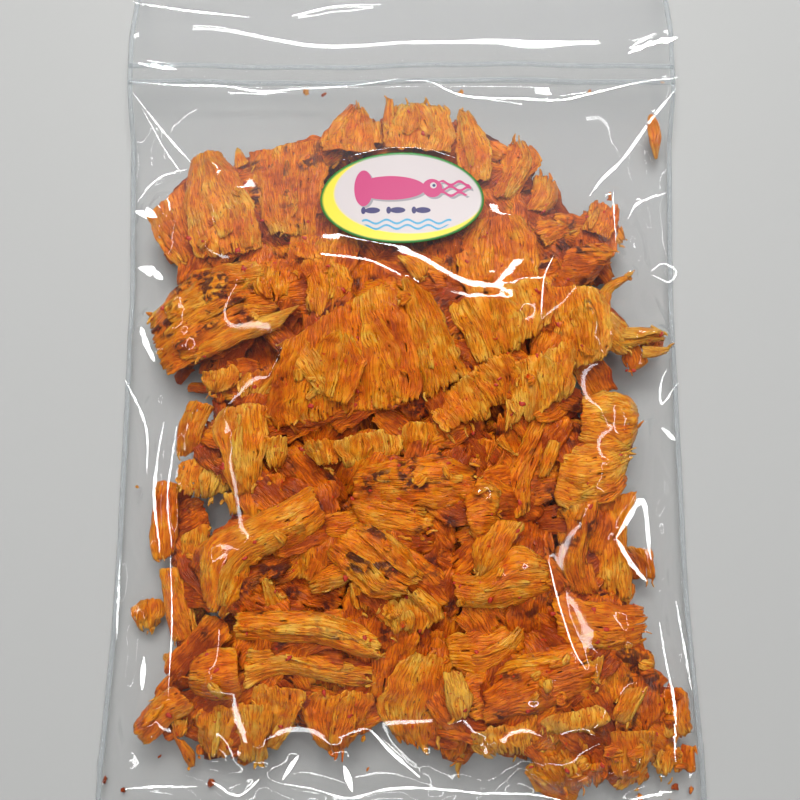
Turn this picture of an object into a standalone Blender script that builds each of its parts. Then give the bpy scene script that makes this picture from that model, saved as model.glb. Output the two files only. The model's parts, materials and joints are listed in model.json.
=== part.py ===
"""A clear zip bag of pressed dried squid, lying on its back with its label up.

The bag is one solid: the film's flat seams, lip and zip ribs, with the squid flakes that show
through the film fused on as relief. The oval label is a thin plate of its own on top of it.
Sizes are in millimetres, and MM turns them into metres where the meshes are made.
+X is the bag's right, +Y points to its zip, and +Z is up from the surface that it lies on.
"""

import math
from dataclasses import dataclass

import bmesh
import bpy
import numpy as np
from mathutils import Vector

MM = 0.001

# Bag, from the real bag's flat size
BAG_LENGTH = 300.0
BAG_WIDTH = 200.0
WAIST_PULL = 2.5
WAIST_FOOT = (-140.0, -70.0)
WAIST_HEAD = (20.0, 95.0)
SEAM_WIDTH = 4.0
SHEET_THICKNESS = 0.8
SEAM_THICKNESS = 1.3
SEAM_HEIGHT = 3.2
SIDE_RISE = 24.0

# Zip: two ribs across the mouth, held up by the film in front of the food
ZIP_Y = 109.8
ZIP_GAP = 6.2
ZIP_HEIGHT = 12.0
RIB_WIDTH = 1.8
RIB_RISE = 1.3
RIB_STATIONS = 25
LIP_DROP = 7.0
FOOD_END_Y = 94.0

# Label, an oval sticker on the film
LABEL_CENTRE = (0.2, 55.2)
LABEL_SIZE = (55.5, 33.5)
LABEL_THICKNESS = 0.6
LABEL_GAP = 0.3
LABEL_SEAT_Z = 28.0
LABEL_CROWN = 1.2
LABEL_MARGIN = 1.35
LABEL_RINGS = 5
LABEL_SECTORS = 40

# How far the flakes stand out of the film between them, and the shape of a flake
RELIEF = 2.6
FLAKE_THICKNESS = 6.0
FACET_LENGTH = 8.0
FACET_WIDTH = 4.5
MOST_FACETS = 9
COMB_SEED = 7

# Spacing of the film's mesh and the steps that let it settle on the food
GRID_STEP = 8.5
SETTLE_STEPS = 500
SAMPLES_PER_FLAKE = 40


@dataclass
class Flake:
    """A sheet of squid whose fibres run from its root edge to its tip edge.

    root and tip are the middles of those edges, widths are the edges' lengths, and slants turn
    each edge in plan, in degrees. bow bends the fibres sideways, arch crowns the sheet across
    them and sag along them, lean lifts its left side, and comb is how ragged its tip is.
    """

    root: tuple
    tip: tuple
    widths: tuple
    slants: tuple = (0.0, 0.0)
    bow: float = 0.0
    arch: float = 1.0
    sag: float = 0.0
    lean: float = 0.0
    comb: float = 1.5


FAN = [
    Flake((-8.5, -14, 26), (-8.5, -35.5, 22), (26, 25), (0, -4), arch=2, comb=3),
    Flake((16.5, -14, 26), (18.5, -33.5, 23), (22.5, 16), (0, -5)),
    Flake((31.5, -16, 25), (31.5, -30, 22), (15, 7.5), (14, 40)),
    Flake((-21.5, 16.5, 30), (-20.5, -22.5, 27), (43, 46), (24, -2), arch=2, sag=2, lean=5, comb=2),
    Flake((40, 9, 28), (41.5, -19, 27), (43, 30.5), (19, 10), comb=3),
    Flake((32.5, 21.5, 30), (35, -2.5, 30.5), (32, 16), (-3, 34)),
    Flake((7.5, 26, 32), (15.5, -26.5, 28), (19.5, 19.5), (-36, -25), arch=3, comb=3),
]

RIGHT_SIDE = [
    Flake((51.5, -16.5, 20), (40, -55, 17), (10.5, 6.5)),
    Flake((52, -19.5, 22), (78, -21, 15), (32, 32.5), arch=2, comb=3),
    Flake((65, -32.5, 21), (65, -56.5, 17), (26, 24), lean=-6),
    Flake((55.5, -23.5, 24), (47, -41, 23), (5.5, 3.5), bow=2),
    Flake((69, 10, 19), (92.5, 8.5, 13), (14.5, 8), comb=5),
    Flake((65.5, 24.5, 20), (80.5, 30, 16), (6.5, 2)),
    Flake((57.5, 31.5, 24), (64.5, -5.5, 22), (26.5, 20), (9, 31), lean=-6),
    Flake((53.5, -51, 18), (57, -78.5, 17), (7.5, 7.5)),
    Flake((66.5, -55, 18), (70, -78.5, 15), (11, 12), lean=-4),
    Flake((76.5, -57.5, 12), (80, -73.5, 9), (7.5, 6.5)),
    Flake((95.5, 97, 7.5), (96.5, 79, 6), (3, 3)),
]

TOP_RIGHT = [
    Flake((64, 42, 19), (66, 31.5, 18), (25, 19)),
    Flake((70, 43.5, 17), (72, 62, 12), (14.5, 9.5), comb=4),
    Flake((52.5, 41.5, 22), (52.5, 52, 19), (21, 16.5), comb=3),
    Flake((11.5, 47.5, 26), (11, 28, 25), (21, 19)),
    Flake((31, 47, 25), (33.5, 24.5, 29), (25.5, 26.5)),
    Flake((42.5, 45.5, 22), (50.5, 66.5, 14), (9, 12.5)),
    Flake((34.5, 49.5, 22), (43, 80, 14), (11.5, 13.5)),
]

TOP_LEFT = [
    Flake((21, 57.5, 26), (25.5, 89.5, 13), (17, 11), comb=3),
    Flake((7.5, 67.5, 26), (6, 95, 14), (27, 25.5), comb=4),
    Flake((-4, 71.5, 20), (-6, 92.5, 13), (6, 3)),
    Flake((-1, 80, 18), (-3, 100, 12), (6, 3)),
    Flake((-18.5, 70.5, 24), (-17, 91, 14), (23, 12)),
    Flake((-27, 71.5, 21), (-28.5, 43.5, 24), (23, 21)),
    Flake((-74, 64, 13), (-83.5, 45.5, 9), (10, 22), (14, -29)),
    Flake((-67.5, 74, 14), (-62, 30.5, 19), (19.5, 25.5), (-34, -1), lean=6),
    Flake((-44, 78.5, 16), (-39, 37.5, 25), (30, 28.5), (2, 13), arch=2),
]

LEFT_SIDE = [
    Flake((-12.5, 36.5, 24), (-12.5, 23.5, 27), (17, 13)),
    Flake((-39.5, 23, 25), (-87.5, 8, 11), (17.5, 24), (-31, -6)),
    Flake((-38, 29.5, 27), (-57.5, 22, 24), (11.5, 11.5)),
    Flake((-31.5, 34.5, 26), (-25.5, 20.5, 28), (24.5, 20.5)),
    Flake((-27.5, 17, 28), (-66, 1.5, 21), (5.5, 6.5), arch=2),
    Flake((-53.5, 2, 23), (-52.5, -15, 24), (20.5, 18.5), comb=3),
    Flake((-68, -8, 18), (-74.5, -30.5, 14), (7.5, 9.5)),
    Flake((-69.5, -28, 16), (-69.5, -46.5, 14), (14, 14), lean=4, comb=3),
    Flake((-47.5, -34.5, 23), (-46.5, -52, 21), (13, 14)),
    Flake((-62.5, -20.5, 22), (-54, -47.5, 20), (8.5, 7.5)),
    Flake((-52.5, -4.5, 25), (-46.5, -20, 25), (12, 8.5)),
    Flake((-58, -14, 25), (-48, -40, 23), (8.5, 7.5)),
    Flake((-41, -20.5, 25), (-40, -37.5, 21), (12, 5.5)),
    Flake((-28, -26, 23), (-28, -37.5, 20), (15, 14)),
    Flake((-78, -34.5, 13), (-78.5, -68, 10), (5.5, 5.5)),
    Flake((-78.5, -64, 11), (-70, -97, 12), (5.5, 6.5)),
    Flake((-77.5, -82.5, 9), (-88, -84, 5), (11, 11)),
]

MIDDLE = [
    Flake((25.5, -84, 20), (40, -84, 20), (11, 11)),
    Flake((17.5, -62, 21), (15.5, -78.5, 18), (13, 10)),
    Flake((-8.5, -44.5, 24), (4.5, -59.5, 22), (18.5, 16.5)),
    Flake((-10.5, -39, 25), (15.5, -50, 25), (26, 28.5), (-31, -32), arch=4),
    Flake((12, -49.5, 24), (13.5, -60.5, 22), (8.5, 4.5), comb=4),
    Flake((24.5, -39, 26), (25.5, -56.5, 25), (15.5, 13), arch=4),
    Flake((30, -53, 25), (24.5, -71, 22), (13, 8), arch=2),
    Flake((21, -55.5, 24), (19, -71, 21), (4.5, 3)),
    Flake((39.5, -64, 21), (49.5, -67.5, 18), (8, 8.5), comb=3),
    Flake((19, -73, 23), (45.5, -68.5, 22), (11, 13.5), arch=4),
    Flake((-59, -65.5, 23), (-60.5, -87.5, 17), (16.5, 8.5), arch=2),
    Flake((-21.5, -44.5, 22), (-60.5, -67.5, 23), (9.5, 15.5), arch=4, sag=2),
    Flake((-44, -67.5, 22), (-38.5, -82, 20), (2.5, 8)),
    Flake((-2, -71, 26), (0, -89.5, 20), (13.5, 11), comb=3),
    Flake((3.5, -68.5, 26), (12, -85.5, 20), (7.5, 5.5)),
    Flake((-12, -70, 26), (-9.5, -82, 22), (10, 7.5)),
    Flake((-16.5, -58.5, 26), (-32, -74, 21), (12, 9), arch=2),
    Flake((-22, -64, 25), (8, -70, 24), (15.5, 12.5), arch=4),
]

BOTTOM_LEFT = [
    Flake((-18.5, -100, 18), (-21, -124, 11), (18.5, 21)),
    Flake((-57.5, -106.5, 18), (-59.5, -128.5, 10), (13, 11), comb=3),
    Flake((-48.5, -104.5, 20), (-47, -131, 10), (12.5, 12), comb=2),
    Flake((-41, -101.5, 21), (-36.5, -119, 14), (13.5, 14.5), comb=3),
    Flake((-66.5, -91.5, 15), (-53.5, -87.5, 18), (8, 7)),
    Flake((-56, -86, 18), (-4.5, -92, 17), (11, 9), arch=3, sag=3),
    Flake((-43, -98, 20), (-6.5, -100.5, 16), (10.5, 8), arch=3),
    Flake((-73, -111, 12), (-67.5, -132, 7), (4.5, 2.5), bow=-2),
    Flake((-67, -105.5, 16), (-87.5, -121.5, 9), (11, 7.5), arch=2),
    Flake((-69.5, -106.5, 16), (-42, -100, 21), (15.5, 14.5), arch=3),
]

BOTTOM_RIGHT = [
    Flake((15.5, -113, 14), (15.5, -129.5, 8), (9, 7.5), comb=4),
    Flake((13.5, -94.5, 20), (3.5, -120, 13), (22, 29), (7, 0)),
    Flake((12.5, -93, 18), (39, -90, 21), (14.5, 9), arch=4),
    Flake((71, -89.5, 19), (72, -105.5, 17), (14.5, 13)),
    Flake((49, -84, 22), (79, -88.5, 14), (21.5, 16.5)),
    Flake((48, -122.5, 16), (48.5, -137.5, 8), (16.5, 16.5), comb=3),
    Flake((61.5, -121.5, 16), (64, -138.5, 8), (18, 18.5), comb=3),
    Flake((76.5, -109, 16), (74, -130, 11), (14.5, 16.5)),
    Flake((83, -118.5, 12), (87, -137.5, 7), (9, 12)),
    Flake((83.5, -101.5, 13), (89, -134, 7), (7.5, 10)),
    Flake((76.5, -99.5, 18), (69, -119, 17), (7, 5.5)),
    Flake((24.5, -114, 20), (58, -100.5, 22), (11.5, 13), arch=3),
    Flake((33.5, -109.5, 22), (33.5, -126.5, 14), (21, 22), comb=3),
    Flake((52, -107.5, 24), (56, -119.5, 21), (18, 18), (17, 17), comb=1),
    Flake((59.5, -94.5, 24), (62.5, -105, 22), (7.5, 5.5)),
    Flake((16.5, -98.5, 25), (19, -117.5, 22), (7, 5.5)),
]

FLAKES = FAN + RIGHT_SIDE + TOP_RIGHT + TOP_LEFT + LEFT_SIDE + MIDDLE + BOTTOM_LEFT + BOTTOM_RIGHT


def smooth_step(low, high, value):
    """0 below low, 1 above high, and a smooth S between them."""
    t = np.clip((value - low) / (high - low), 0.0, 1.0)
    return t * t * (3.0 - 2.0 * t)


def half_width(y):
    """Half the bag's width: the full sides draw in a little beside the heap of food."""
    beside = smooth_step(*WAIST_FOOT, y) * (1.0 - smooth_step(*WAIST_HEAD, y))
    return BAG_WIDTH / 2 - WAIST_PULL * beside


def flake_surface(flake, u, v):
    """Points of a flake's upper face: u runs 0 to 1 along its fibres, v -0.5 to 0.5 across."""
    root = np.array(flake.root, float)
    tip = np.array(flake.tip, float)
    along = (tip - root)[:2]
    heading = math.atan2(along[1], along[0])
    hump = 4.0 * u * (1.0 - u)
    turn = heading + math.pi / 2 + np.radians(flake.slants[0] * (1 - u) + flake.slants[1] * u)
    width = flake.widths[0] * (1 - u) + flake.widths[1] * u
    x = root[0] + along[0] * u - math.sin(heading) * flake.bow * hump + np.cos(turn) * width * v
    y = root[1] + along[1] * u + math.cos(heading) * flake.bow * hump + np.sin(turn) * width * v
    crown = flake.arch * (1.0 - 4.0 * v * v) + flake.sag * hump + flake.lean * v
    return np.stack([x, y, root[2] + (tip[2] - root[2]) * u + crown], axis=-1)


def base_height(x, y):
    """Underside of the bag: flat under the food, rising to the seams, the foot and the zip."""
    from_side = half_width(y) - np.abs(x)
    from_foot = y + BAG_LENGTH / 2
    side = SEAM_HEIGHT * (1.0 - smooth_step(0.0, SIDE_RISE, np.minimum(from_side, from_foot)))
    return np.maximum(side, zip_height(x, y))


def zip_height(x, y):
    """Height of the film from the food's end over the zip to the lip's edge, with its wave."""
    climb = smooth_step(FOOD_END_Y - 20.0, ZIP_Y, y) * ZIP_HEIGHT
    fall = smooth_step(ZIP_Y, BAG_LENGTH / 2, y) * LIP_DROP
    wave = 0.8 * np.sin(x / 30.0) * smooth_step(FOOD_END_Y, ZIP_Y, y)
    return climb - fall + wave


def food_height(x_lines, y_lines):
    """Height of the highest flake near each crossing of the film's mesh, 0 where none is."""
    highest = np.zeros((len(y_lines), len(x_lines)))
    u, v = np.meshgrid(
        np.linspace(0, 1, SAMPLES_PER_FLAKE), np.linspace(-0.5, 0.5, SAMPLES_PER_FLAKE)
    )
    for flake in FLAKES:
        points = flake_surface(flake, u, v).reshape(-1, 3)
        across = points[:, 0] / half_width(points[:, 1])
        column = np.abs(across[:, None] - x_lines[None, :]).argmin(axis=1)
        row = np.abs(points[:, 1][:, None] - y_lines[None, :]).argmin(axis=1)
        total = np.zeros_like(highest)
        hits = np.zeros_like(highest)
        np.add.at(total, (row, column), points[:, 2])
        np.add.at(hits, (row, column), 1.0)
        highest = np.maximum(highest, total / np.maximum(hits, 1.0))
    return highest


def label_distance(x, y):
    """1 on the label's edge, less inside it."""
    return np.hypot(
        (x - LABEL_CENTRE[0]) / (LABEL_SIZE[0] / 2), (y - LABEL_CENTRE[1]) / (LABEL_SIZE[1] / 2)
    )


def seat_height(x, y):
    """Height of the film under the label: a low crown that falls to the label's two ends."""
    return LABEL_SEAT_Z - LABEL_CROWN * ((x - LABEL_CENTRE[0]) / (LABEL_SIZE[0] / 2)) ** 2


def settled_film(x_lines, y_lines):
    """Height of the bag between the flakes: their bed, and taut film from it to the seams."""
    y, share = np.meshgrid(y_lines, x_lines, indexing="ij")
    x = share * half_width(y)
    low = base_height(x, y)
    edge = np.minimum(half_width(y) - np.abs(x), y + BAG_LENGTH / 2)
    thickness = np.where(edge < SEAM_WIDTH + 0.1, SEAM_THICKNESS, SHEET_THICKNESS)
    floor = low + thickness
    food = food_height(x_lines, y_lines) - RELIEF
    bedded = food > floor
    labelled = label_distance(x, y) < LABEL_MARGIN
    flat = (edge < SEAM_WIDTH + 0.1) | (y > FOOD_END_Y + 4.0)
    target = np.where(bedded, food, floor)
    target = np.where(labelled, seat_height(x, y), np.where(flat, floor, target))
    held = labelled | flat | bedded
    film = np.maximum(floor, target)
    for _ in range(SETTLE_STEPS):
        around = film.copy()
        around[1:-1, 1:-1] = (
            film[:-2, 1:-1] + film[2:, 1:-1] + film[1:-1, :-2] + film[1:-1, 2:]
        ) / 4
        film = np.where(held, target, np.maximum(around, floor))
    return x, y, low, film


def mesh_object(name, points, faces):
    """A named object of its own from points in millimetres and lists of corners."""
    mesh = bpy.data.meshes.new(name)
    mesh.from_pydata((np.asarray(points) * MM).tolist(), [], faces)
    mesh.validate()
    thing = bpy.data.objects.new(name, mesh)
    bpy.context.scene.collection.objects.link(thing)
    return thing


def closed_sheet(name, top, bottom):
    """A closed solid between two grids of points with the same rows and columns."""
    rows, columns = top.shape[:2]
    count = rows * columns
    index = np.arange(count).reshape(rows, columns)
    a, b = index[:-1, :-1].ravel(), index[:-1, 1:].ravel()
    c, d = index[1:, 1:].ravel(), index[1:, :-1].ravel()
    faces = [list(f) for f in zip(a, b, c)] + [list(f) for f in zip(a, c, d)]
    faces += [[f[2] + count, f[1] + count, f[0] + count] for f in faces]
    rim = np.concatenate(
        [index[0, :-1], index[:-1, -1], index[-1, :0:-1], index[:0:-1, 0]]
    )
    for p, q in zip(rim, np.roll(rim, -1)):
        faces += [[q, p, p + count], [q, p + count, q + count]]
    faces = [[int(corner) for corner in face] for face in faces]
    points = np.concatenate([top.reshape(-1, 3), bottom.reshape(-1, 3)])
    thing = mesh_object(name, points, faces)
    face_out(thing.data)
    return thing


def face_out(mesh):
    """Turns every face of a closed mesh outwards."""
    work = bmesh.new()
    work.from_mesh(mesh)
    bmesh.ops.recalc_face_normals(work, faces=work.faces)
    work.to_mesh(mesh)
    work.free()


def film_lines():
    """Lines of the film's mesh: even ones, with closer ones at the seams and the zip."""
    seam_share = 2.0 * SEAM_WIDTH / BAG_WIDTH
    inner = np.linspace(-1 + seam_share * 2.4, 1 - seam_share * 2.4, int(BAG_WIDTH / GRID_STEP))
    x_lines = np.concatenate([[-1, -1 + seam_share], inner, [1 - seam_share, 1]])
    bottom = -BAG_LENGTH / 2
    body = np.linspace(bottom + SEAM_WIDTH * 2.4, FOOD_END_Y, int(BAG_LENGTH * 0.85 / GRID_STEP))
    mouth = np.array([ZIP_Y - 8.0, ZIP_Y, ZIP_Y + 9.0, BAG_LENGTH / 2 - 9.0, BAG_LENGTH / 2])
    return x_lines, np.concatenate([[bottom, bottom + SEAM_WIDTH], body, mouth])


def film_height_at(film, x, y):
    """Height of the settled film at any point, by the mesh line crossings around it."""
    x_lines, y_lines, heights = film
    share = np.clip(x / half_width(y), x_lines[0], x_lines[-1])
    column = np.clip(np.searchsorted(x_lines, share) - 1, 0, len(x_lines) - 2)
    row = np.clip(np.searchsorted(y_lines, y) - 1, 0, len(y_lines) - 2)
    s = (share - x_lines[column]) / (x_lines[column + 1] - x_lines[column])
    t = (y - y_lines[row]) / (y_lines[row + 1] - y_lines[row])
    lower = heights[row, column] * (1 - s) + heights[row, column + 1] * s
    upper = heights[row + 1, column] * (1 - s) + heights[row + 1, column + 1] * s
    return lower * (1 - t) + upper * t


def make_flake(number, flake, rng):
    """A flake as a closed faceted sheet with an uneven, comb-like tip."""
    length = math.dist(flake.root[:2], flake.tip[:2])
    rows = int(np.clip(round(length / FACET_LENGTH), 2, MOST_FACETS))
    columns = int(np.clip(round(max(flake.widths) / FACET_WIDTH), 2, MOST_FACETS))
    u, v = np.meshgrid(
        np.linspace(0, 1, rows + 1), np.linspace(-0.5, 0.5, columns + 1), indexing="ij"
    )
    u[-1] -= rng.uniform(0.0, 1.0, columns + 1) * flake.comb * 1.4 / length
    u[0] += rng.uniform(0.0, 1.0, columns + 1) * flake.comb * 0.7 / length
    top = flake_surface(flake, u, v)
    top[..., 2] += rng.uniform(-0.35, 0.35, top.shape[:2])
    bottom = top - [0.0, 0.0, FLAKE_THICKNESS]
    lowest = base_height(top[..., 0], top[..., 1]) + SHEET_THICKNESS / 2
    bottom[..., 2] = np.maximum(bottom[..., 2], lowest)
    return closed_sheet(f"flake_{number}", top, bottom)


def make_rib(name, y, film):
    """A zip rib: a low bar across the mouth that follows the film's wave."""
    reach = half_width(y) - SEAM_WIDTH / 2
    x = np.linspace(-reach, reach, RIB_STATIONS)
    z = film_height_at(film, x, np.full_like(x, y))
    top = np.stack(
        [
            np.stack([x, np.full_like(x, y + side * RIB_WIDTH / 2), z + RIB_RISE], axis=-1)
            for side in (-1, 1)
        ]
    )
    return closed_sheet(name, top, top - [0.0, 0.0, RIB_RISE + SHEET_THICKNESS / 2])


def largest_shell(mesh):
    """Keeps the one outer shell: a sealed hollow is filled and a loose scrap dropped."""
    work = bmesh.new()
    work.from_mesh(mesh)
    bmesh.ops.triangulate(work, faces=work.faces)
    unseen = set(work.verts)
    shells = []
    while unseen:
        found, waiting = set(), [unseen.pop()]
        while waiting:
            corner = waiting.pop()
            found.add(corner)
            near = {edge.other_vert(corner) for edge in corner.link_edges}
            waiting += near & unseen
            unseen -= near
        shells.append(found)
    shells.sort(key=len)
    extra = [corner for shell in shells[:-1] for corner in shell]
    bmesh.ops.delete(work, geom=extra, context="VERTS")
    bmesh.ops.dissolve_limit(
        work, angle_limit=math.radians(1.0), verts=work.verts, edges=work.edges
    )
    bmesh.ops.triangulate(work, faces=work.faces)
    work.to_mesh(mesh)
    work.free()


def fuse(thing, helpers):
    """Joins the helpers into the thing with one Boolean union, and removes them."""
    joined = bpy.data.collections.new("joined")
    bpy.context.scene.collection.children.link(joined)
    for helper in helpers:
        bpy.context.scene.collection.objects.unlink(helper)
        joined.objects.link(helper)
    union = thing.modifiers.new("union", "BOOLEAN")
    union.operation = "UNION"
    union.operand_type = "COLLECTION"
    union.collection = joined
    union.solver = "MANIFOLD"
    graph = bpy.context.evaluated_depsgraph_get()
    fused = bpy.data.meshes.new_from_object(thing.evaluated_get(graph))
    thing.modifiers.clear()
    thing.data = fused
    for helper in helpers:
        bpy.data.objects.remove(helper)
    bpy.data.collections.remove(joined)
    largest_shell(thing.data)


def make_bag():
    """The bag: its film, zip ribs and the flakes that show, as one solid."""
    x_lines, y_lines = film_lines()
    x, y, low, high = settled_film(x_lines, y_lines)
    film = (x_lines, y_lines, high)
    bag = closed_sheet("bag", np.stack([x, y, high], axis=-1), np.stack([x, y, low], axis=-1))
    rng = np.random.default_rng(COMB_SEED)
    helpers = [make_flake(number, flake, rng) for number, flake in enumerate(FLAKES)]
    helpers += [
        make_rib(f"rib_{side}", ZIP_Y + side * ZIP_GAP / 2, film) for side in (-1, 1)
    ]
    fuse(bag, helpers)
    return bag


def make_label():
    """The label: an oval plate that follows the crown of the film just under it."""
    rings = np.linspace(0.0, 1.0, LABEL_RINGS)[1:]
    angles = np.linspace(0.0, 2 * math.pi, LABEL_SECTORS, endpoint=False)
    reach, turn = np.meshgrid(rings, angles, indexing="ij")
    x = LABEL_CENTRE[0] + reach * np.cos(turn) * LABEL_SIZE[0] / 2
    y = LABEL_CENTRE[1] + reach * np.sin(turn) * LABEL_SIZE[1] / 2
    x = np.concatenate([[LABEL_CENTRE[0]], x.ravel()])
    y = np.concatenate([[LABEL_CENTRE[1]], y.ravel()])
    lower = np.stack([x, y, seat_height(x, y) + LABEL_GAP], axis=-1)
    upper = lower + [0.0, 0.0, LABEL_THICKNESS]
    count = len(x)
    faces = []
    for sector in range(LABEL_SECTORS):
        after = (sector + 1) % LABEL_SECTORS
        faces.append([0, 1 + sector, 1 + after])
        for ring in range(len(rings) - 1):
            a, b = 1 + ring * LABEL_SECTORS + sector, 1 + ring * LABEL_SECTORS + after
            faces += [[a, a + LABEL_SECTORS, b + LABEL_SECTORS], [a, b + LABEL_SECTORS, b]]
    outer = 1 + (len(rings) - 1) * LABEL_SECTORS
    walls = []
    for sector in range(LABEL_SECTORS):
        p, q = outer + sector, outer + (sector + 1) % LABEL_SECTORS
        walls += [[p, q, q + count], [p, q + count, p + count]]
    faces = [[c + count for c in face] for face in faces] + [face[::-1] for face in faces] + walls
    label = mesh_object("label", np.concatenate([lower, upper]), faces)
    face_out(label.data)
    return label


def paint(thing, name, colour, roughness, alpha=1.0):
    """Gives the whole thing one plain material."""
    material = bpy.data.materials.new(name)
    material.use_nodes = True
    shader = material.node_tree.nodes["Principled BSDF"]
    shader.inputs["Base Color"].default_value = (*colour, 1.0)
    shader.inputs["Roughness"].default_value = roughness
    shader.inputs["Metallic"].default_value = 0.0
    shader.inputs["Alpha"].default_value = alpha
    thing.data.materials.clear()
    thing.data.materials.append(material)


def main():
    for old in list(bpy.data.objects):
        bpy.data.objects.remove(old)
    bag = make_bag()
    paint(bag, "squid_in_clear_film", (0.62, 0.25, 0.04), 0.35)
    label = make_label()
    paint(label, "label_paper", (0.86, 0.82, 0.80), 0.5)
    lowest = min((bag.matrix_world @ Vector(corner)).z for corner in bag.bound_box)
    print(f"bag: {len(bag.data.polygons)} faces, lowest point {lowest * 1000:.2f} mm")


main()
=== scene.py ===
"""Looks for a clear zip bag of dried squid that lies on its back with its label up.

Lengths in this script are millimetres, and MM turns them into metres where meshes are made.
+X is the bag's right, +Y points to its zip and lip, and +Z is up from the floor.
The squid is a heap of torn, pressed sheets. Each visible sheet is placed from a listed table and
then gets its fibres, ragged edges and slits from seeded noise. The film is a closed envelope that
settles over the heap, and the zip, the seams and the label follow the film.
"""

from __future__ import annotations

import json
import logging
import math
from dataclasses import dataclass, field
from enum import Enum

import bmesh
import bpy
import numpy as np
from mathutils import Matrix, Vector

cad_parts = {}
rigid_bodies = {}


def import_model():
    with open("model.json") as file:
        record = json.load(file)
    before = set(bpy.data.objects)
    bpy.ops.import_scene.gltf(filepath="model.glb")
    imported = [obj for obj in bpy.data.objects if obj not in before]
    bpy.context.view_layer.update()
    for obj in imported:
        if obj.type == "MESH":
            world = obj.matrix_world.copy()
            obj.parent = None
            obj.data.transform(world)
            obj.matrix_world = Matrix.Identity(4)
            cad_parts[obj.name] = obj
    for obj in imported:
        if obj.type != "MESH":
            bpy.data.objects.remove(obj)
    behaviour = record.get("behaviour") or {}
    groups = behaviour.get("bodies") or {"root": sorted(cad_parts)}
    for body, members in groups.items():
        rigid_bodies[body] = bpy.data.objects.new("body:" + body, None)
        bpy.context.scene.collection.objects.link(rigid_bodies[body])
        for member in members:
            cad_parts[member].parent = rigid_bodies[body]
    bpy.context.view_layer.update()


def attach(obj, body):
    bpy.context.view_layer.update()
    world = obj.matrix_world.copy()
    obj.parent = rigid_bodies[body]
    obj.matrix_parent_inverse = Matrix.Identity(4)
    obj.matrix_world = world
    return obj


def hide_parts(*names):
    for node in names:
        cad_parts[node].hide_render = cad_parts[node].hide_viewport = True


logging.basicConfig(level=logging.INFO, format="%(message)s")
log = logging.getLogger("dried_squid")

MM = 0.001
BODY = "root"
BAG_NODE = "bag"
LABEL_NODE = "label"

# The bag's flat size and its zip, as in the part's solids
BAG_LENGTH = 300.0
BAG_WIDTH = 200.0
WAIST_PULL = 2.5
WAIST_FOOT = (-140.0, -70.0)
WAIST_HEAD = (20.0, 95.0)
ZIP_Y = 109.8
ZIP_GAP = 6.2
ZIP_HEIGHT = 12.0
LIP_DROP = 7.0
FOOD_END_Y = 94.0
SEAM_HEIGHT = 3.2
SIDE_RISE = 24.0
SIDE_GAP = 3.2
BACK_GAP = 0.7
FULL_HALF = 62.0

# Short folds in the bare margins: how many, how often at the foot, and the ranges of their places
STRAY_CREASES = 70
STRAY_AT_FOOT = 3
STRAY_FOOT_X = (-92.0, 92.0)
STRAY_FOOT_Y = (-146.0, -130.0)
STRAY_SIDE_Y = (-135.0, 98.0)
STRAY_SIDE_INSET = (3.0, 15.0)
STRAY_REACH = (4.0, 15.0)
STRAY_HEIGHT = (0.8, 1.7)

LABEL_CENTRE = (0.2, 55.2)
LABEL_SIZE = (55.5, 33.5)

# Spacing of the film's grid: 232 cells across the bag
FILM_STEP = BAG_WIDTH / 232

# Millimetres to one unit of every UV map
UV_SIZE = 100.0


class Zone(Enum):
    """Parts of the heap. The squid of each part becomes one mesh."""

    FAN = "squid_fan"
    RIGHT = "squid_right"
    TOP = "squid_top"
    LEFT = "squid_left"
    MIDDLE = "squid_middle"
    FOOT_LEFT = "squid_foot_left"
    FOOT_RIGHT = "squid_foot_right"
    SHREDS = "squid_shreds"
    BED_HIGH = "squid_bed_high"
    BED_MIDDLE = "squid_bed_middle"
    BED_LOW = "squid_bed_low"


@dataclass(frozen=True)
class Flake:
    """A torn sheet of squid, laid out from its root edge to its tip edge along its fibres.

    Each station is (x, y, z, width, turn): a point of the sheet's middle line, the sheet's width
    there, and how far in degrees the line across it is turned from square. arch crowns the sheet
    across its fibres, sag lifts its middle along them, lean raises its left side, and curl
    bends its tip down. comb is how ragged the tip is, slits the share of fibres that are split
    there, ridge the height of the fibre ridges, lumps that of its bumps, tone runs from pale
    yellow at 0 to deep orange at 1, and char is the share of the sheet that is browned.
    """

    stations: tuple[tuple[float, float, float, float, float], ...]
    arch: float = 1.0
    sag: float = 0.0
    lean: float = 0.0
    curl: float = 0.8
    comb: float = 1.5
    slits: float = 0.10
    ridge: float = 0.32
    lumps: float = 0.3
    tone: float = 0.5
    char: float = 0.12


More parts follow.
